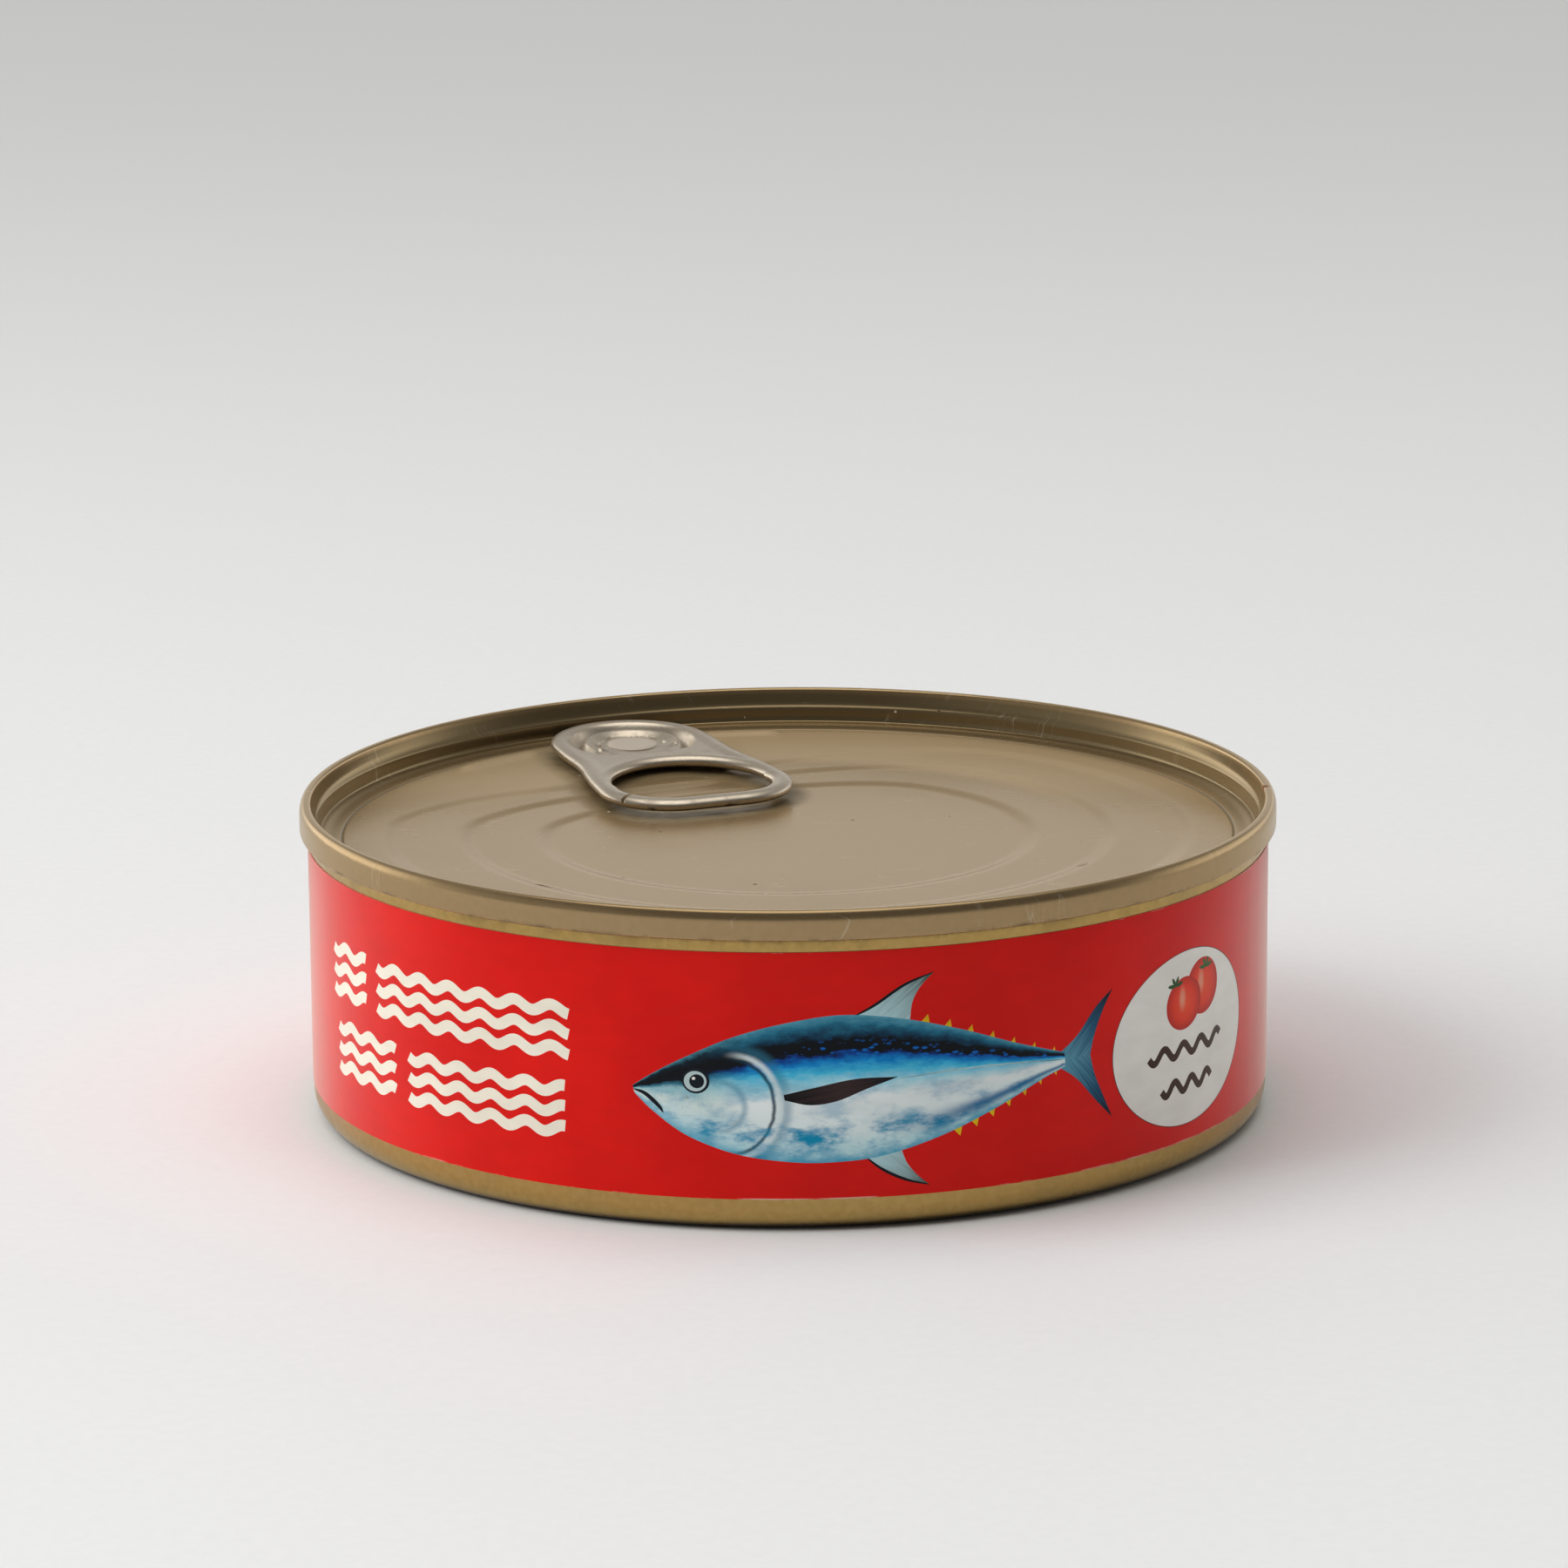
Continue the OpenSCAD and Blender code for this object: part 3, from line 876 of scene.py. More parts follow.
add_print(water_line(41.6, 50.4, 18.9, 0.6, 0.75, 2.9), "brown_ink")


# ---------------------------------------------------------------- flat sheets to solids
def anticlockwise(outline):
    ahead = np.roll(outline, -1, axis=0)
    area = (outline[:, 0] * ahead[:, 1] - ahead[:, 0] * outline[:, 1]).sum()
    return outline if area > 0 else outline[::-1]


def fill_flat(outlines, loose):
    """Triangles over the outlines and loose points, and the outlines that each one is in."""
    points, faces = [], []
    for outline in outlines:
        outline = anticlockwise(np.asarray(outline, float))
        faces.append(list(range(len(points), len(points) + len(outline))))
        points.extend(Vector((float(x), float(y))) for x, y in outline)
    points.extend(Vector((float(x), float(y))) for x, y in loose)
    found, _, triangles, _, _, owners = delaunay_2d_cdt(points, [], faces, 0, 1e-5)
    flat = np.array([(p.x, p.y) for p in found])
    return flat, np.array([list(t) for t in triangles]), owners


NO_AREA = 1e-9


def doubled_area(flat, triangles):
    corners = flat[triangles]
    return np.cross(corners[:, 1] - corners[:, 0], corners[:, 2] - corners[:, 0])


def solid_sheet(flat, triangles, over, under):
    """Closes two surfaces over the same flat triangles with a wall round every edge."""
    used, renumbered = np.unique(triangles, return_inverse=True)
    flat, triangles = flat[used], renumbered.reshape(-1, 3)
    count = len(flat)
    points = np.vstack([over(flat), under(flat)])
    edges = {edge: True for a, b, c in triangles.tolist() for edge in ((a, b), (b, c), (c, a))}
    walls = [(b, a, a + count, b + count) for a, b in edges if (b, a) not in edges]
    faces = triangles.tolist() + (triangles[:, ::-1] + count).tolist() + walls
    return flat, triangles, points, faces


# ---------------------------------------------------------------- label
LAP = 8.0
LAP_RISE = 1.6
GLUE_GAP = 0.005
PRINT_END = 62.0
HALF_WAY = math.pi * PAPER_R


def build_label():
    """The paper strip with its print, wrapped round the wall and lapped at the back."""
    end = HALF_WAY + LAP
    left = np.linspace(-HALF_WAY, -PRINT_END - 2, 36)
    printed_part = np.arange(-PRINT_END, PRINT_END + 0.1, 1.1)
    right = np.linspace(PRINT_END + 2, HALF_WAY - LAP_RISE, 36)
    lap = np.linspace(HALF_WAY - LAP_RISE * 0.8, end, 14)
    columns = np.concatenate([left, printed_part, right, lap])
    middle_rows = np.linspace(1.2, PAPER_H - 1.2, 17)
    rows = np.concatenate([[0, 0.25], middle_rows, [PAPER_H - 0.25, PAPER_H]])
    grid = np.array([(x, y) for x in columns for y in rows])
    sheet = [(-HALF_WAY, 0), (end, 0), (end, PAPER_H), (-HALF_WAY, PAPER_H)]
    flat, triangles, owners = fill_flat([sheet] + [p[0] for p in prints], grid)
    owner = np.array([max(o) if o else -1 for o in owners])
    # the wrap runs left to right as seen from outside, and depth runs down
    area = doubled_area(flat, triangles)
    keep = np.abs(area) > NO_AREA
    flip = area > 0
    triangles[flip] = triangles[flip][:, ::-1]
    triangles, owner = triangles[keep], owner[keep]

    def wrap(points, radius):
        lift = (PAPER_T + 2 * GLUE_GAP) * smooth_step(points[:, 0], HALF_WAY - LAP_RISE, HALF_WAY)
        turn = points[:, 0] / PAPER_R
        r = radius + lift
        return np.column_stack([r * np.sin(turn), -r * np.cos(turn), PAPER_TOP - points[:, 1]])

    flat, triangles, points, faces = solid_sheet(
        flat, triangles, lambda p: wrap(p, PAPER_R), lambda p: wrap(p, WALL_R + GLUE_GAP))
    mesh = mesh_from("label_paper", points, faces, outward=False)
    for made in print_materials:
        mesh.materials.append(made)
    inks = np.zeros(len(faces), int)
    shape = np.zeros((len(mesh.loops), 2))
    for k, (_, ink, shape_map) in enumerate(prints, start=1):
        inside = np.nonzero(owner == k)[0]
        inks[inside] = ink
        loops = (inside[:, None] * 3 + np.arange(3)).ravel()
        shape[loops] = shape_map(flat[triangles[inside].ravel()])
    mesh.polygons.foreach_set("material_index", inks.astype(np.int32))
    layer = mesh.uv_layers.new(name="shape")
    layer.data.foreach_set("uv", shape.ravel().astype(np.float32))
    finish_mesh("label_paper", mesh, "label")


# ---------------------------------------------------------------- can body
def spun_section(name, section, steps, coat):
    """A Geometry Nodes tree that spins a section round the can's axis."""
    tree = bpy.data.node_groups.new(name, "GeometryNodeTree")
    sockets = tree.interface
    sockets.new_socket("Section", in_out="INPUT", socket_type="NodeSocketGeometry")
    steps_socket = sockets.new_socket("Steps", in_out="INPUT", socket_type="NodeSocketInt")
    radius_socket = sockets.new_socket("Radius", in_out="INPUT", socket_type="NodeSocketFloat")
    coat_socket = sockets.new_socket("Coat", in_out="INPUT", socket_type="NodeSocketMaterial")
    sockets.new_socket("Geometry", in_out="OUTPUT", socket_type="NodeSocketGeometry")
    nodes, links = tree.nodes, tree.links
    given = nodes.new("NodeGroupInput").outputs
    end = nodes.new("NodeGroupOutput").inputs
    path = nodes.new("GeometryNodeCurvePrimitiveCircle")
    links.new(given["Steps"], path.inputs["Resolution"])
    links.new(given["Radius"], path.inputs["Radius"])
    outline = nodes.new("GeometryNodeMeshToCurve")
    links.new(given["Section"], outline.inputs[0])
    sweep = nodes.new("GeometryNodeCurveToMesh")
    links.new(path.outputs[0], sweep.inputs["Curve"])
    links.new(outline.outputs[0], sweep.inputs["Profile Curve"])
    merge = nodes.new("GeometryNodeMergeByDistance")
    merge.inputs["Distance"].default_value = 0.002 * MM
    links.new(sweep.outputs[0], merge.inputs[0])
    realize = nodes.new("GeometryNodeRealizeInstances")
    links.new(merge.outputs[0], realize.inputs[0])
    dress = nodes.new("GeometryNodeSetMaterial")
    links.new(realize.outputs[0], dress.inputs[0])
    links.new(given["Coat"], dress.inputs["Material"])
    links.new(dress.outputs[0], end[0])

    # the circle's frame points outwards and down, so the section is given that way
    line = [((r - WALL_R) * MM, -z * MM, 0) for r, z in section]
    pattern = bpy.data.meshes.new(name)
    pattern.from_pydata(line, [(i, i + 1) for i in range(len(line) - 1)], [])
    holder = bpy.data.objects.new(name, pattern)
    bpy.context.scene.collection.objects.link(holder)
    modifier = holder.modifiers.new(name, "NODES")
    modifier.node_group = tree
    modifier[steps_socket.identifier] = steps
    modifier[radius_socket.identifier] = WALL_R * MM
    modifier[coat_socket.identifier] = coat
    ready = holder.evaluated_get(bpy.context.evaluated_depsgraph_get())
    mesh = bpy.data.meshes.new_from_object(ready)
    bpy.data.objects.remove(holder)
    return mesh


def build_body():
    """The can, from the collar under the seam down to the pressed base."""
    wall, collar_in, contents_z = WALL_R, WALL_R - COLLAR_T - 0.01, SEAT_Z - 2 * SEAT_GAP
    stand_out = wall - BASE_ROUND
    stand_in = stand_out - STAND_W
    panel_r = stand_in - BASE_SLOPE_W
    bead_half = BASE_BEAD_W / 2
    section = [(0, contents_z), (collar_in, contents_z), (collar_in, SEAM_Z),
               (wall - 0.05, SEAM_Z)]
    section += arc((wall - 0.1, SEAM_Z - 0.1), 0.1, 90, 0, 4)
    section += [(wall, z) for z in np.linspace(SEAM_Z - 0.5, BASE_ROUND + 0.3, 14)]
    section += arc((stand_out, BASE_ROUND), BASE_ROUND, 0, -90, 14)
    section += arc((stand_in, 0.3), 0.3, -90, -146, 5)
    section += arc((panel_r, BASE_RECESS - 0.3), 0.3, 34, 90, 5)
    bead = [(BASE_BEAD_R + bead_half * s, BASE_RECESS - BASE_BEAD_T * (1 - s * s) ** 1.5)
            for s in np.linspace(1, -1, 17)]
    section += bead + [(r, BASE_RECESS) for r in np.linspace(BASE_BEAD_R - 3, 0, 12)]
    mesh = spun_section("spun_wall", section, BODY_STEPS, gold_lacquer())
    face_outwards(mesh)
    mesh.shade_smooth()
    finish_mesh("can_body", mesh, "can_body", 50)


# ---------------------------------------------------------------- lid
def turned(points, angle):
    spin = np.array([[math.cos(angle), math.sin(angle)], [-math.sin(angle), math.cos(angle)]])
    return points @ spin


def inside_step(flat, ring):
    """How far a point of the lid lies inside a step's round-cornered outline."""
    past_circle = np.linalg.norm(flat, axis=1) - (SCORE_R - RING_IN - ring * RING_PITCH)
    past_line = flat[:, 1] - (RIVET_Y - CROSS_IN - ring * CROSS_PITCH)
    a, b = past_circle + CROSS_ROUND, past_line + CROSS_ROUND
    corner = np.hypot(np.maximum(a, 0), np.maximum(b, 0))
    return -(corner + np.minimum(np.maximum(a, b), 0) - CROSS_ROUND)


def circle(steps):
    turns = np.linspace(0, 2 * math.pi, steps, endpoint=False)
    return np.column_stack([np.cos(turns), np.sin(turns)])


def closed_by_rows(rows, first, last):
    """A closed solid from rings of points, one after another, with a point at each end."""
    steps = len(rows[0])
    points = np.vstack([[first]] + rows + [[last]])
    ahead = [(i + 1) % steps for i in range(steps)]
    faces = [(0, 1 + i, 1 + ahead[i]) for i in range(steps)]
    for row in range(len(rows) - 1):
        a, b = 1 + row * steps, 1 + (row + 1) * steps
        faces += [(a + i, b + i, b + ahead[i], a + ahead[i]) for i in range(steps)]
    end, tip = 1 + (len(rows) - 1) * steps, len(points) - 1
    faces += [(end + i, tip, end + ahead[i]) for i in range(steps)]
    return points, faces


def near_bar(flat):
    """Distance from a point of the lid to the middle line of the nearer bar."""
    radius = np.linalg.norm(flat, axis=1)
    turn = np.abs(np.degrees(np.arctan2(flat[:, 0], flat[:, 1])))
    off_end = np.maximum(np.maximum(BAR_FROM - turn, turn - BAR_FROM - BAR_ARC), 0)
    return np.hypot(radius - BAR_R, np.radians(off_end) * BAR_R)


def panel_height(world):
    """Height of the pressed panel and, as a mask, the flanks of its steps."""
    flat = turned(world, -LID_TURN)
    height = np.full(len(flat), float(PANEL_Z))
    flank = np.zeros(len(flat))
    for ring in range(RING_COUNT):
        depth = inside_step(flat, ring)
        height -= STEP_H * smooth_step(depth, -FLANK_W / 2, FLANK_W / 2)
        flank = np.maximum(flank, 1 - smooth_step(np.abs(depth), 0.2, 0.75))
    height += BAR_H * (1 - smooth_step(near_bar(flat), BAR_W * 0.4, BAR_W * 0.8))
    from_rivet = np.linalg.norm(flat - np.array([0, RIVET_Y]), axis=1)
    height += BOSS_H * (1 - smooth_step(from_rivet, BOSS_D * 0.42, BOSS_D * 0.66))
    radius = np.linalg.norm(flat, axis=1)
    height -= SCORE_DEPTH * np.exp(-((radius - SCORE_R) / (SCORE_W * 0.4)) ** 2)
    return height, flank


def build_lid():
    """The easy-open end: folded seam, inner wall, channel, score line and pressed panel."""
    # rings of the panel, closer together across the score line
    panel = np.concatenate([np.arange(0.35, SCORE_R - 0.6, 0.37),
                            SCORE_R + np.linspace(-0.5, 0.3, 11)])
    foot = curve_through([(PANEL_R + 0.12, PANEL_Z + 0.01), (PANEL_R + 0.9, PANEL_Z + 0.14),
                          (FOOT_R - 0.5, FOOT_Z - 0.04), (FOOT_R - 0.08, FOOT_Z + 0.05),
                          (FOOT_R + 0.04, FOOT_Z + 0.35)], 4)
    wall = curve_through([(FOOT_R + 0.07, FOOT_Z + 0.6), (BREAK_R - 0.06, BREAK_Z - 0.2),
                          (BREAK_R, BREAK_Z), (BREAK_R + 0.2, BREAK_Z + 0.26),
                          (BREAK_R + 0.36, BREAK_Z + 0.6), (RIM_IN_R - 0.08, CAN_H - 0.75)], 5)
    round_in, shoulder, low_round = 0.34, (0.55, 1.15), 0.28
    rim = arc((RIM_IN_R + round_in, CAN_H - round_in), round_in, 172, 96, 6)
    rim += [(RIM_IN_R + 0.42, CAN_H + 0.0), (SEAM_R - shoulder[0] - 0.08, CAN_H - 0.005)]
    rim += arc((SEAM_R - shoulder[0], CAN_H - shoulder[1]), shoulder, 84, 0, 14)
    rim += [(SEAM_R, z) for z in np.linspace(CAN_H - 1.4, SEAM_Z + 0.5, 4)]
    rim += arc((SEAM_R - low_round, SEAM_Z + low_round + 0.02), low_round, 0, -90, 6)
    in_collar, under_seam, seat = WALL_R - COLLAR_T - 0.06, SEAM_Z + 0.02, SEAT_Z + SEAT_GAP
    hidden = [(WALL_R - 0.1, under_seam), (in_collar, under_seam), (in_collar, seat),
              (30, seat), (8, seat)]
    around = circle(LID_STEPS)
    rows = [np.column_stack([around * r, panel_height(around * r)[0]]) for r in panel]
    rows += [np.column_stack([around * r, np.full(LID_STEPS, z)])
             for r, z in [*foot, *wall, *rim, *hidden]]
    middle_z = panel_height(np.zeros((1, 2)))[0][0]
    points, faces = closed_by_rows(rows, (0, 0, middle_z), (0, 0, seat))

    # the rivet is one piece with the lid, and the masks tell the finish what is where
    stem_points, stem_faces = rivet_head()
    faces += [tuple(i + len(points) for i in face) for face in stem_faces]
    panel_points = points[:1 + len(panel) * LID_STEPS]
    masks = {"flank": panel_height(panel_points[:, :2])[1], "by_tab": near_tab(panel_points),
             "rivet": np.concatenate([np.zeros(len(points)), np.ones(len(stem_points))])}
    points = np.vstack([points, stem_points])
    mesh = mesh_from("easy_open_end", points, faces)
    for title, mask in masks.items():
        values = np.zeros(len(points), np.float32)
        values[:len(mask)] = mask
        mesh.attributes.new(title, "FLOAT", "POINT").data.foreach_set("value", values)
    mesh.materials.append(lid_tinplate())
    finish_mesh("easy_open_end", mesh, "lid", 40)


def tab_frame():
    """From the tab's own frame to the can's, in millimetres."""
    return (Matrix.Rotation(LID_TURN, 4, "Z")
            @ Matrix.Translation((0, RIVET_Y, PANEL_Z + BOSS_H))
            @ Matrix.Rotation(TAB_TWIST, 4, "Z") @ Matrix.Rotation(TAB_DIP, 4, "X"))


def set_in_tab_frame(points):
    way = np.array(tab_frame())
    return points @ way[:3, :3].T + way[:3, 3]


def near_tab(points):
    """1 on the lid under the tab's metal, falling to 0 a little way out from it."""
    back = np.array(tab_frame().inverted())
    flat = (points @ back[:3, :3].T + back[:3, 3])[:, :2]
    near = np.zeros(len(points))
    close = np.linalg.norm(flat - np.array([0, HOLE_Y]), axis=1) < TAB_L
    gap = np.minimum(nearest(flat[close], tab_outline(0)), nearest(flat[close], hole_outline(0)))
    under_nose = 1 - smooth_step(np.linalg.norm(flat[close], axis=1), NOSE_R - 0.5, NOSE_R + 1)
    near[close] = np.maximum(1 - smooth_step(gap, 0.2, 2.4), under_nose)
    return near


def rivet_head():
    """The rivet's flattened head and its stem, as a closed turned solid."""
    top, edge, steps = HEAD_Z + HEAD_T, 0.14, 64
    section = [(HEAD_D * 0.16, top - 0.05), (HEAD_D * 0.3, top)]
    section += arc((HEAD_D / 2 - edge, top - edge), edge, 80, -70, 7)
    section += [(RIVET_D / 2, HEAD_Z), (RIVET_D / 2, -STEM_SUNK)]
    rows = [np.column_stack([circle(steps) * r, np.full(steps, z)]) for r, z in section]
    points, faces = closed_by_rows(rows, (0, 0, top), (0, 0, -STEM_SUNK))
    return set_in_tab_frame(points), faces


# ---------------------------------------------------------------- pull tab
CORNER_X = RING_W / 2 - CORNER_R
CORNER_Y = -(TAB_L - NOSE_R - CORNER_R)
CORNER_FAR = math.hypot(CORNER_X, CORNER_Y)
SIDE_TURN = math.atan2(CORNER_X, -CORNER_Y) - math.asin((NOSE_R - CORNER_R) / CORNER_FAR)
HOLE_R = RING_W / 2 - RIM_W
HOLE_Y = -WEB_BACK - HOLE_R


def even_steps(points, step):
    """The same closed outline with points an even step apart."""
    loop = np.vstack([points, points[:1]])
    run = np.concatenate([[0], np.cumsum(np.linalg.norm(np.diff(loop, axis=0), axis=1))])
    places = np.linspace(0, run[-1], max(8, round(run[-1] / step)), endpoint=False)
    return np.column_stack([np.interp(places, run, loop[:, i]) for i in (0, 1)])


def tab_outline(inset, step=0.3):
    """The tab's outline drawn in by inset: round nose, straight sides, round corners."""
    side = math.degrees(SIDE_TURN)
    nose, corner = NOSE_R - inset, CORNER_R - inset
    loop = arc((0, 0), nose, side, 180 - side, 60)
    loop += arc((-CORNER_X, CORNER_Y), corner, 180 - side, 270, 40)
    loop += arc((CORNER_X, CORNER_Y), corner, 270, 360 + side, 40)
    loop = even_steps(np.array(loop), step)
    waist = np.exp(-((loop[:, 1] - WAIST_Y) / WAIST_SPAN) ** 2)
    loop[:, 0] -= np.sign(loop[:, 0]) * WAIST_IN * waist
    return loop


def hole_outline(grow, step=0.3):
    """The finger hole, grown outwards by grow: round end, then the ring's inside."""
    ring = tab_outline(RIM_W - grow, 0.1)
    radius = HOLE_R + grow
    low = ring[ring[:, 1] < HOLE_Y]
    low = low[np.argsort(np.arctan2(low[:, 1] - HOLE_Y, low[:, 0]))]
    round_end = np.array(arc((0, HOLE_Y), radius, 1, 179, 60))
    return even_steps(np.vstack([low, round_end]), step)


def nearest(points, outline):
    """Distance from each point to an outline given as close points."""
    fine = even_steps(outline, 0.05)
    gaps = []
    for start in range(0, len(points), 2000):
        apart = points[start:start + 2000, None, :] - fine[None, :, :]
        gaps.append(np.sqrt((apart ** 2).sum(2).min(1)))
    return np.concatenate(gaps)


# the rolled edge's ends meet in a narrow split, which crosses one corner of the ring
CORNER_AT = np.array([-CORNER_X, CORNER_Y])
SPLIT_TURN = math.radians(209)
SPLIT_WAY = np.array([math.cos(SPLIT_TURN), math.sin(SPLIT_TURN)])
SPLIT_SIDE = np.array([-SPLIT_WAY[1], SPLIT_WAY[0]])


def tab_surfaces(flat):
    """Heights of the tab's upper and lower surfaces at points of its own plane."""
    half = RIM_T / 2
    from_rim = nearest(flat, tab_outline(0))
    from_hole = nearest(flat, hole_outline(0))
    edge = np.minimum(from_rim, from_hole)
    radius = np.linalg.norm(flat, axis=1)
    # flat shoulders a little below the bead, and a hollow pressed in round the rivet
    top = RIM_T - SHOULDER_DROP * smooth_step(from_rim, RIM_W * 0.55, RIM_W * 1.1) * smooth_step(
        from_hole, LIP_W * 0.5, LIP_W * 1.2)
    ahead = smooth_step(flat[:, 1], -5.6, -2.2)
    rib = RIB_H * np.exp(-(np.abs(radius - RIDGE_R) / 0.6) ** 2.4)
    inner = HOLLOW_Z - HOLLOW_DROP * smooth_step(radius, RIDGE_R + 0.1, RIDGE_R + 1.0) + rib
    hollow = 1 - smooth_step(radius, *HOLLOW_R)
    top = top + (inner - top) * hollow * ahead
    back = 1 - smooth_step(radius, 3.4, 6.2)
    top = np.where(ahead < 1, np.minimum(top, top + (WEB_Z + 0.12 - top) * back), top)
    slit_turn = np.degrees(np.arctan2(flat[:, 1], flat[:, 0]))
    slit = np.exp(-((radius - SLIT_R) / 0.2) ** 4) * smooth_step(slit_turn, -12, -2) * (
        1 - smooth_step(slit_turn, 182, 192))
    top -= SLIT_DEPTH * slit
    bottom = (top - WEB_Z) * smooth_step(edge, 1.5, 2.3)
    roll = np.clip(edge / EDGE_ROLL, 0, 1)
    swell = np.sqrt(1 - (1 - roll) ** 2)
    high = half + LEAST_T + (top - half - LEAST_T) * swell
    low = half - LEAST_T - (half - LEAST_T - bottom) * swell
    offset = flat - CORNER_AT
    off_line = np.abs(offset @ SPLIT_SIDE)
    in_split = (offset @ SPLIT_WAY > 0) * (from_rim < RIM_W + 0.3)
    split = (1 - smooth_step(off_line, *SPLIT_HALF)) * in_split
    high -= split * (high - half) * SPLIT_DEPTH
    return high, np.minimum(low, high - 0.06)


def build_tab():
    """The pull tab: rolled bead all round, pressed nose and an open finger ring."""
    insets = [0.0, 0.05, 0.16, 0.32, 0.55, 0.85]
    rings = [tab_outline(inset) for inset in insets]
    holes = [hole_outline(grow) for grow in insets]
    step = 0.24
    xs = np.arange(-RING_W / 2, RING_W / 2, step)
    ys = np.arange(CORNER_Y - CORNER_R, NOSE_R, step)
    grid = np.array([(x + (j % 2) * step / 2, y) for j, y in enumerate(ys) for x in xs])
    edge = np.minimum(nearest(grid, rings[0]), nearest(grid, holes[0]))
    grid = grid[edge > insets[-1] + 0.12]
    along = (CORNER_R - np.linspace(0.06, RIM_W, 12))[:, None]
    split = np.vstack([CORNER_AT + along * SPLIT_WAY + off * SPLIT_SIDE
                       for off in (-0.25, -0.15, 0.15, 0.25)])
    loose = np.vstack(rings[1:] + holes[1:] + [grid, split])
    flat, triangles, owners = fill_flat([rings[0], holes[0]], loose)
    # what lies in the tab's outline (0) and outside the finger hole (1) is metal
    triangles = triangles[np.array([0 in o and 1 not in o for o in owners])]
    area = doubled_area(flat, triangles)
    triangles[area < 0] = triangles[area < 0][:, ::-1]
    triangles = triangles[np.abs(area) > NO_AREA]

    def surface(side):
        return lambda points: set_in_tab_frame(
            np.column_stack([points, tab_surfaces(points)[side]]))

    _, _, points, faces = solid_sheet(flat, triangles, surface(0), surface(1))
    mesh = mesh_from("pull_tab", points, faces)
    mesh.materials.append(tab_tinplate())
    finish_mesh("pull_tab", mesh, "pull_tab", 60)


build_body()
build_lid()
build_tab()
build_label()


# ---------------------------------------------------------------- floor, light and camera
FLOOR_HALF = 6
FLOOR_SHADES = ((0.78, 0.78, 0.78, 1), (0.83, 0.83, 0.83, 1))
FLOOR_FALLOFF_SHADE = (0.66, 0.66, 0.65, 1)


def build_floor():
    """A pale floor with painted light falloff: it darkens a little behind the can."""
    mesh = bpy.data.meshes.new("floor")
    corners = [(-1, -1), (1, -1), (1, 1), (-1, 1)]
    mesh.from_pydata([(x * FLOOR_HALF, y * FLOOR_HALF, 0) for x, y in corners], [],
                     [(0, 1, 2, 3)])
    floor = bpy.data.objects.new("floor", mesh)
    bpy.context.scene.collection.objects.link(floor)
    made, tree, shader = material("pale_floor")
    place = put(tree, "TexCoord").outputs["Object"]
    colour = blend(tree, noise(tree, place, 700.0, 3.0), *FLOOR_SHADES)
    # painted shade: the floor darkens with distance behind the can
    colour = tint(tree, colour, FLOOR_FALLOFF_SHADE, mapped(tree, axis_of(tree, place, 1), 0.05, 0.9))
    wire(tree, shader, Base_Color=colour, Roughness=0.6)
    mesh.materials.append(made)


KEY_AT = (-0.95, -0.28, 0.9)
KEY_SIZE = 0.9
KEY_POWER = 10.5
KEY_AIM = (0, 0, 0.015)
ROOM_COLOUR = (1.0, 1.0, 0.985, 1)
ROOM_LEVEL = 0.12
SCREEN_LEVEL = 1.0
SIDE_LEVEL = 0.25
WINGS_LEVEL = 1.0
OVERHEAD_LEVEL = 1.6


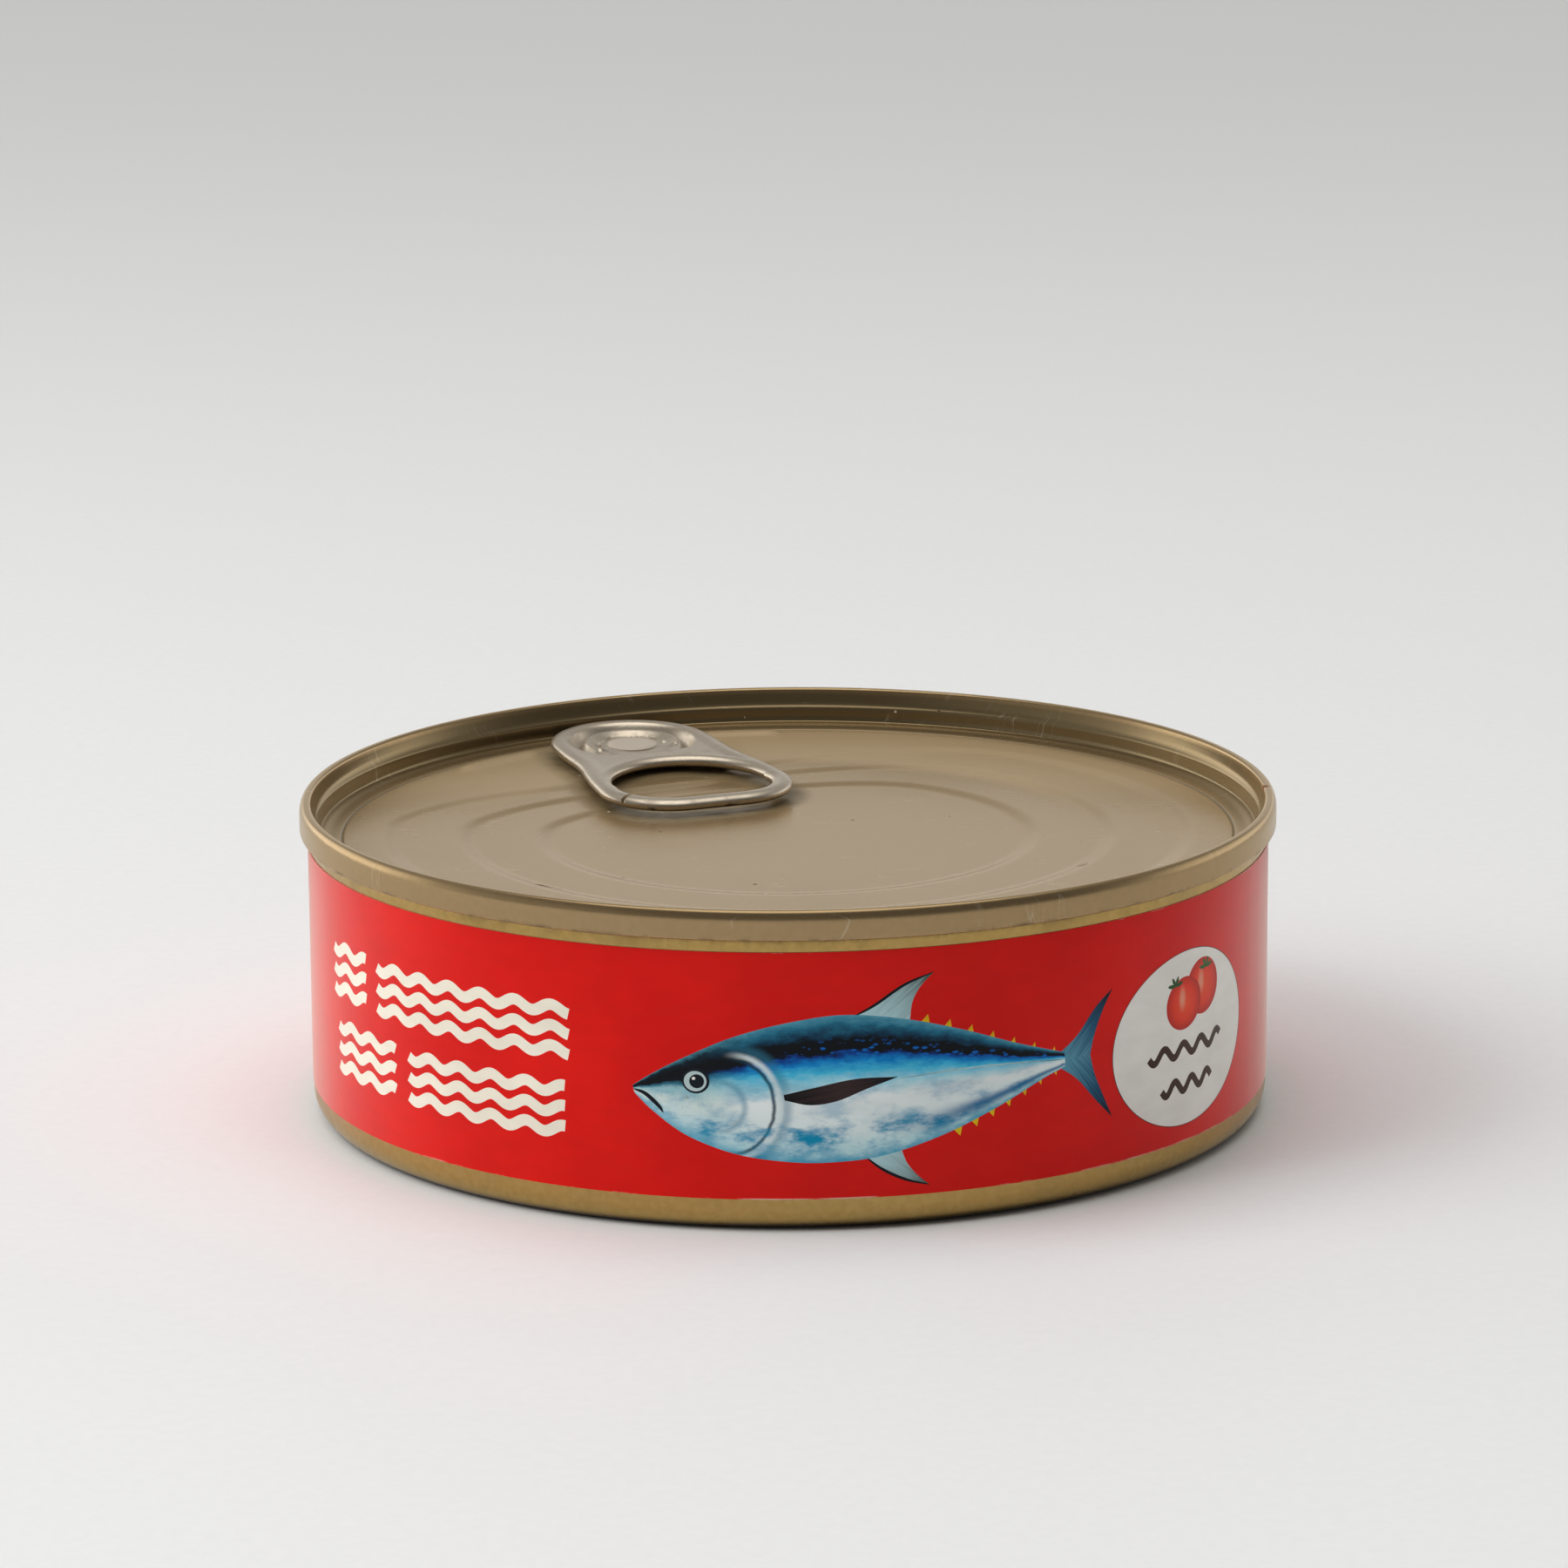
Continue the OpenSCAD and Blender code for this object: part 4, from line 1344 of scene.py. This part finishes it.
def build_light():
    """Soft light from the left and behind, over a pale room that is darker in front."""
    world = bpy.data.worlds.new("studio")
    world.use_nodes = True
    bpy.context.scene.world = world
    tree = world.node_tree
    way = put(tree, "TexCoord").outputs["Generated"]
    x, y, z = put(tree, "SeparateXYZ", {0: way}).outputs
    screen = times(tree, mapped(tree, y, -0.45, 0.55), mapped(tree, z, 0.0, 0.5, 1.0, 0.25))
    side = times(tree, mapped(tree, x, -0.95, -0.35, 1.0, 0.0),
                 mapped(tree, z, 0.25, 0.7, 1.0, 0.2))
    # two low panels behind, at the left and the right, wash the paper's turning edges
    left, right = mapped(tree, x, -0.6, -0.35, 1.0, 0.0), mapped(tree, x, 0.45, 0.7, 0.0, 0.5)
    low_behind = times(tree, mapped(tree, y, 0.0, 0.3), mapped(tree, z, 0.3, 0.6, 1.0, 0.0))
    wings = times(tree, plus(tree, left, right), low_behind)
    overhead = mapped(tree, z, 0.80, 0.96)
    level = add_up(tree, ROOM_LEVEL, times(tree, screen, SCREEN_LEVEL),
                   times(tree, side, SIDE_LEVEL), times(tree, wings, WINGS_LEVEL),
                   times(tree, overhead, OVERHEAD_LEVEL))
    shade = tree.nodes["Background"]
    wire(tree, shade, Strength=level, Color=ROOM_COLOUR)

    lamp = bpy.data.lights.new("key", "AREA")
    lamp.size = KEY_SIZE
    lamp.energy = KEY_POWER
    holder = bpy.data.objects.new("key", lamp)
    holder.location = KEY_AT
    aim = Vector(KEY_AIM) - Vector(KEY_AT)
    holder.rotation_euler = aim.to_track_quat("-Z", "Y").to_euler()
    # the lamp only lights; what shines in the metal is the room
    holder.visible_glossy = False
    bpy.context.scene.collection.objects.link(holder)


LENS = 153.85
FILM_W = 36
CAMERA_FAR = 0.6994
CAMERA_UP = math.radians(15.92)
CAMERA_YAW = math.radians(0.031)
CAMERA_TILT = math.radians(2.644)
CAMERA_ROLL = math.radians(0.405)


def build_camera():
    """A long lens low in front of the can, turned a little in yaw, tilt and roll."""
    camera = bpy.data.cameras.new("camera")
    camera.lens = LENS
    camera.sensor_width = FILM_W
    camera.clip_start = 0.01
    holder = bpy.data.objects.new("camera", camera)
    place = CAMERA_FAR * Vector((0, -math.cos(CAMERA_UP), math.sin(CAMERA_UP)))
    ahead = -place.normalized()
    right = ahead.cross(Vector((0, 0, 1))).normalized()
    axes = [right, right.cross(ahead), ahead]
    for which, angle in ((1, CAMERA_YAW), (0, CAMERA_TILT), (2, CAMERA_ROLL)):
        spin = Quaternion(axes[which], angle)
        axes = [spin @ axis for axis in axes]
    right, up, ahead = axes
    turn = Matrix((right, up, -ahead)).transposed()
    holder.matrix_world = Matrix.Translation(place) @ turn.to_4x4()
    bpy.context.scene.collection.objects.link(holder)
    bpy.context.scene.camera = holder


build_floor()
build_light()
build_camera()
bpy.context.scene.view_settings.view_transform = "Standard"
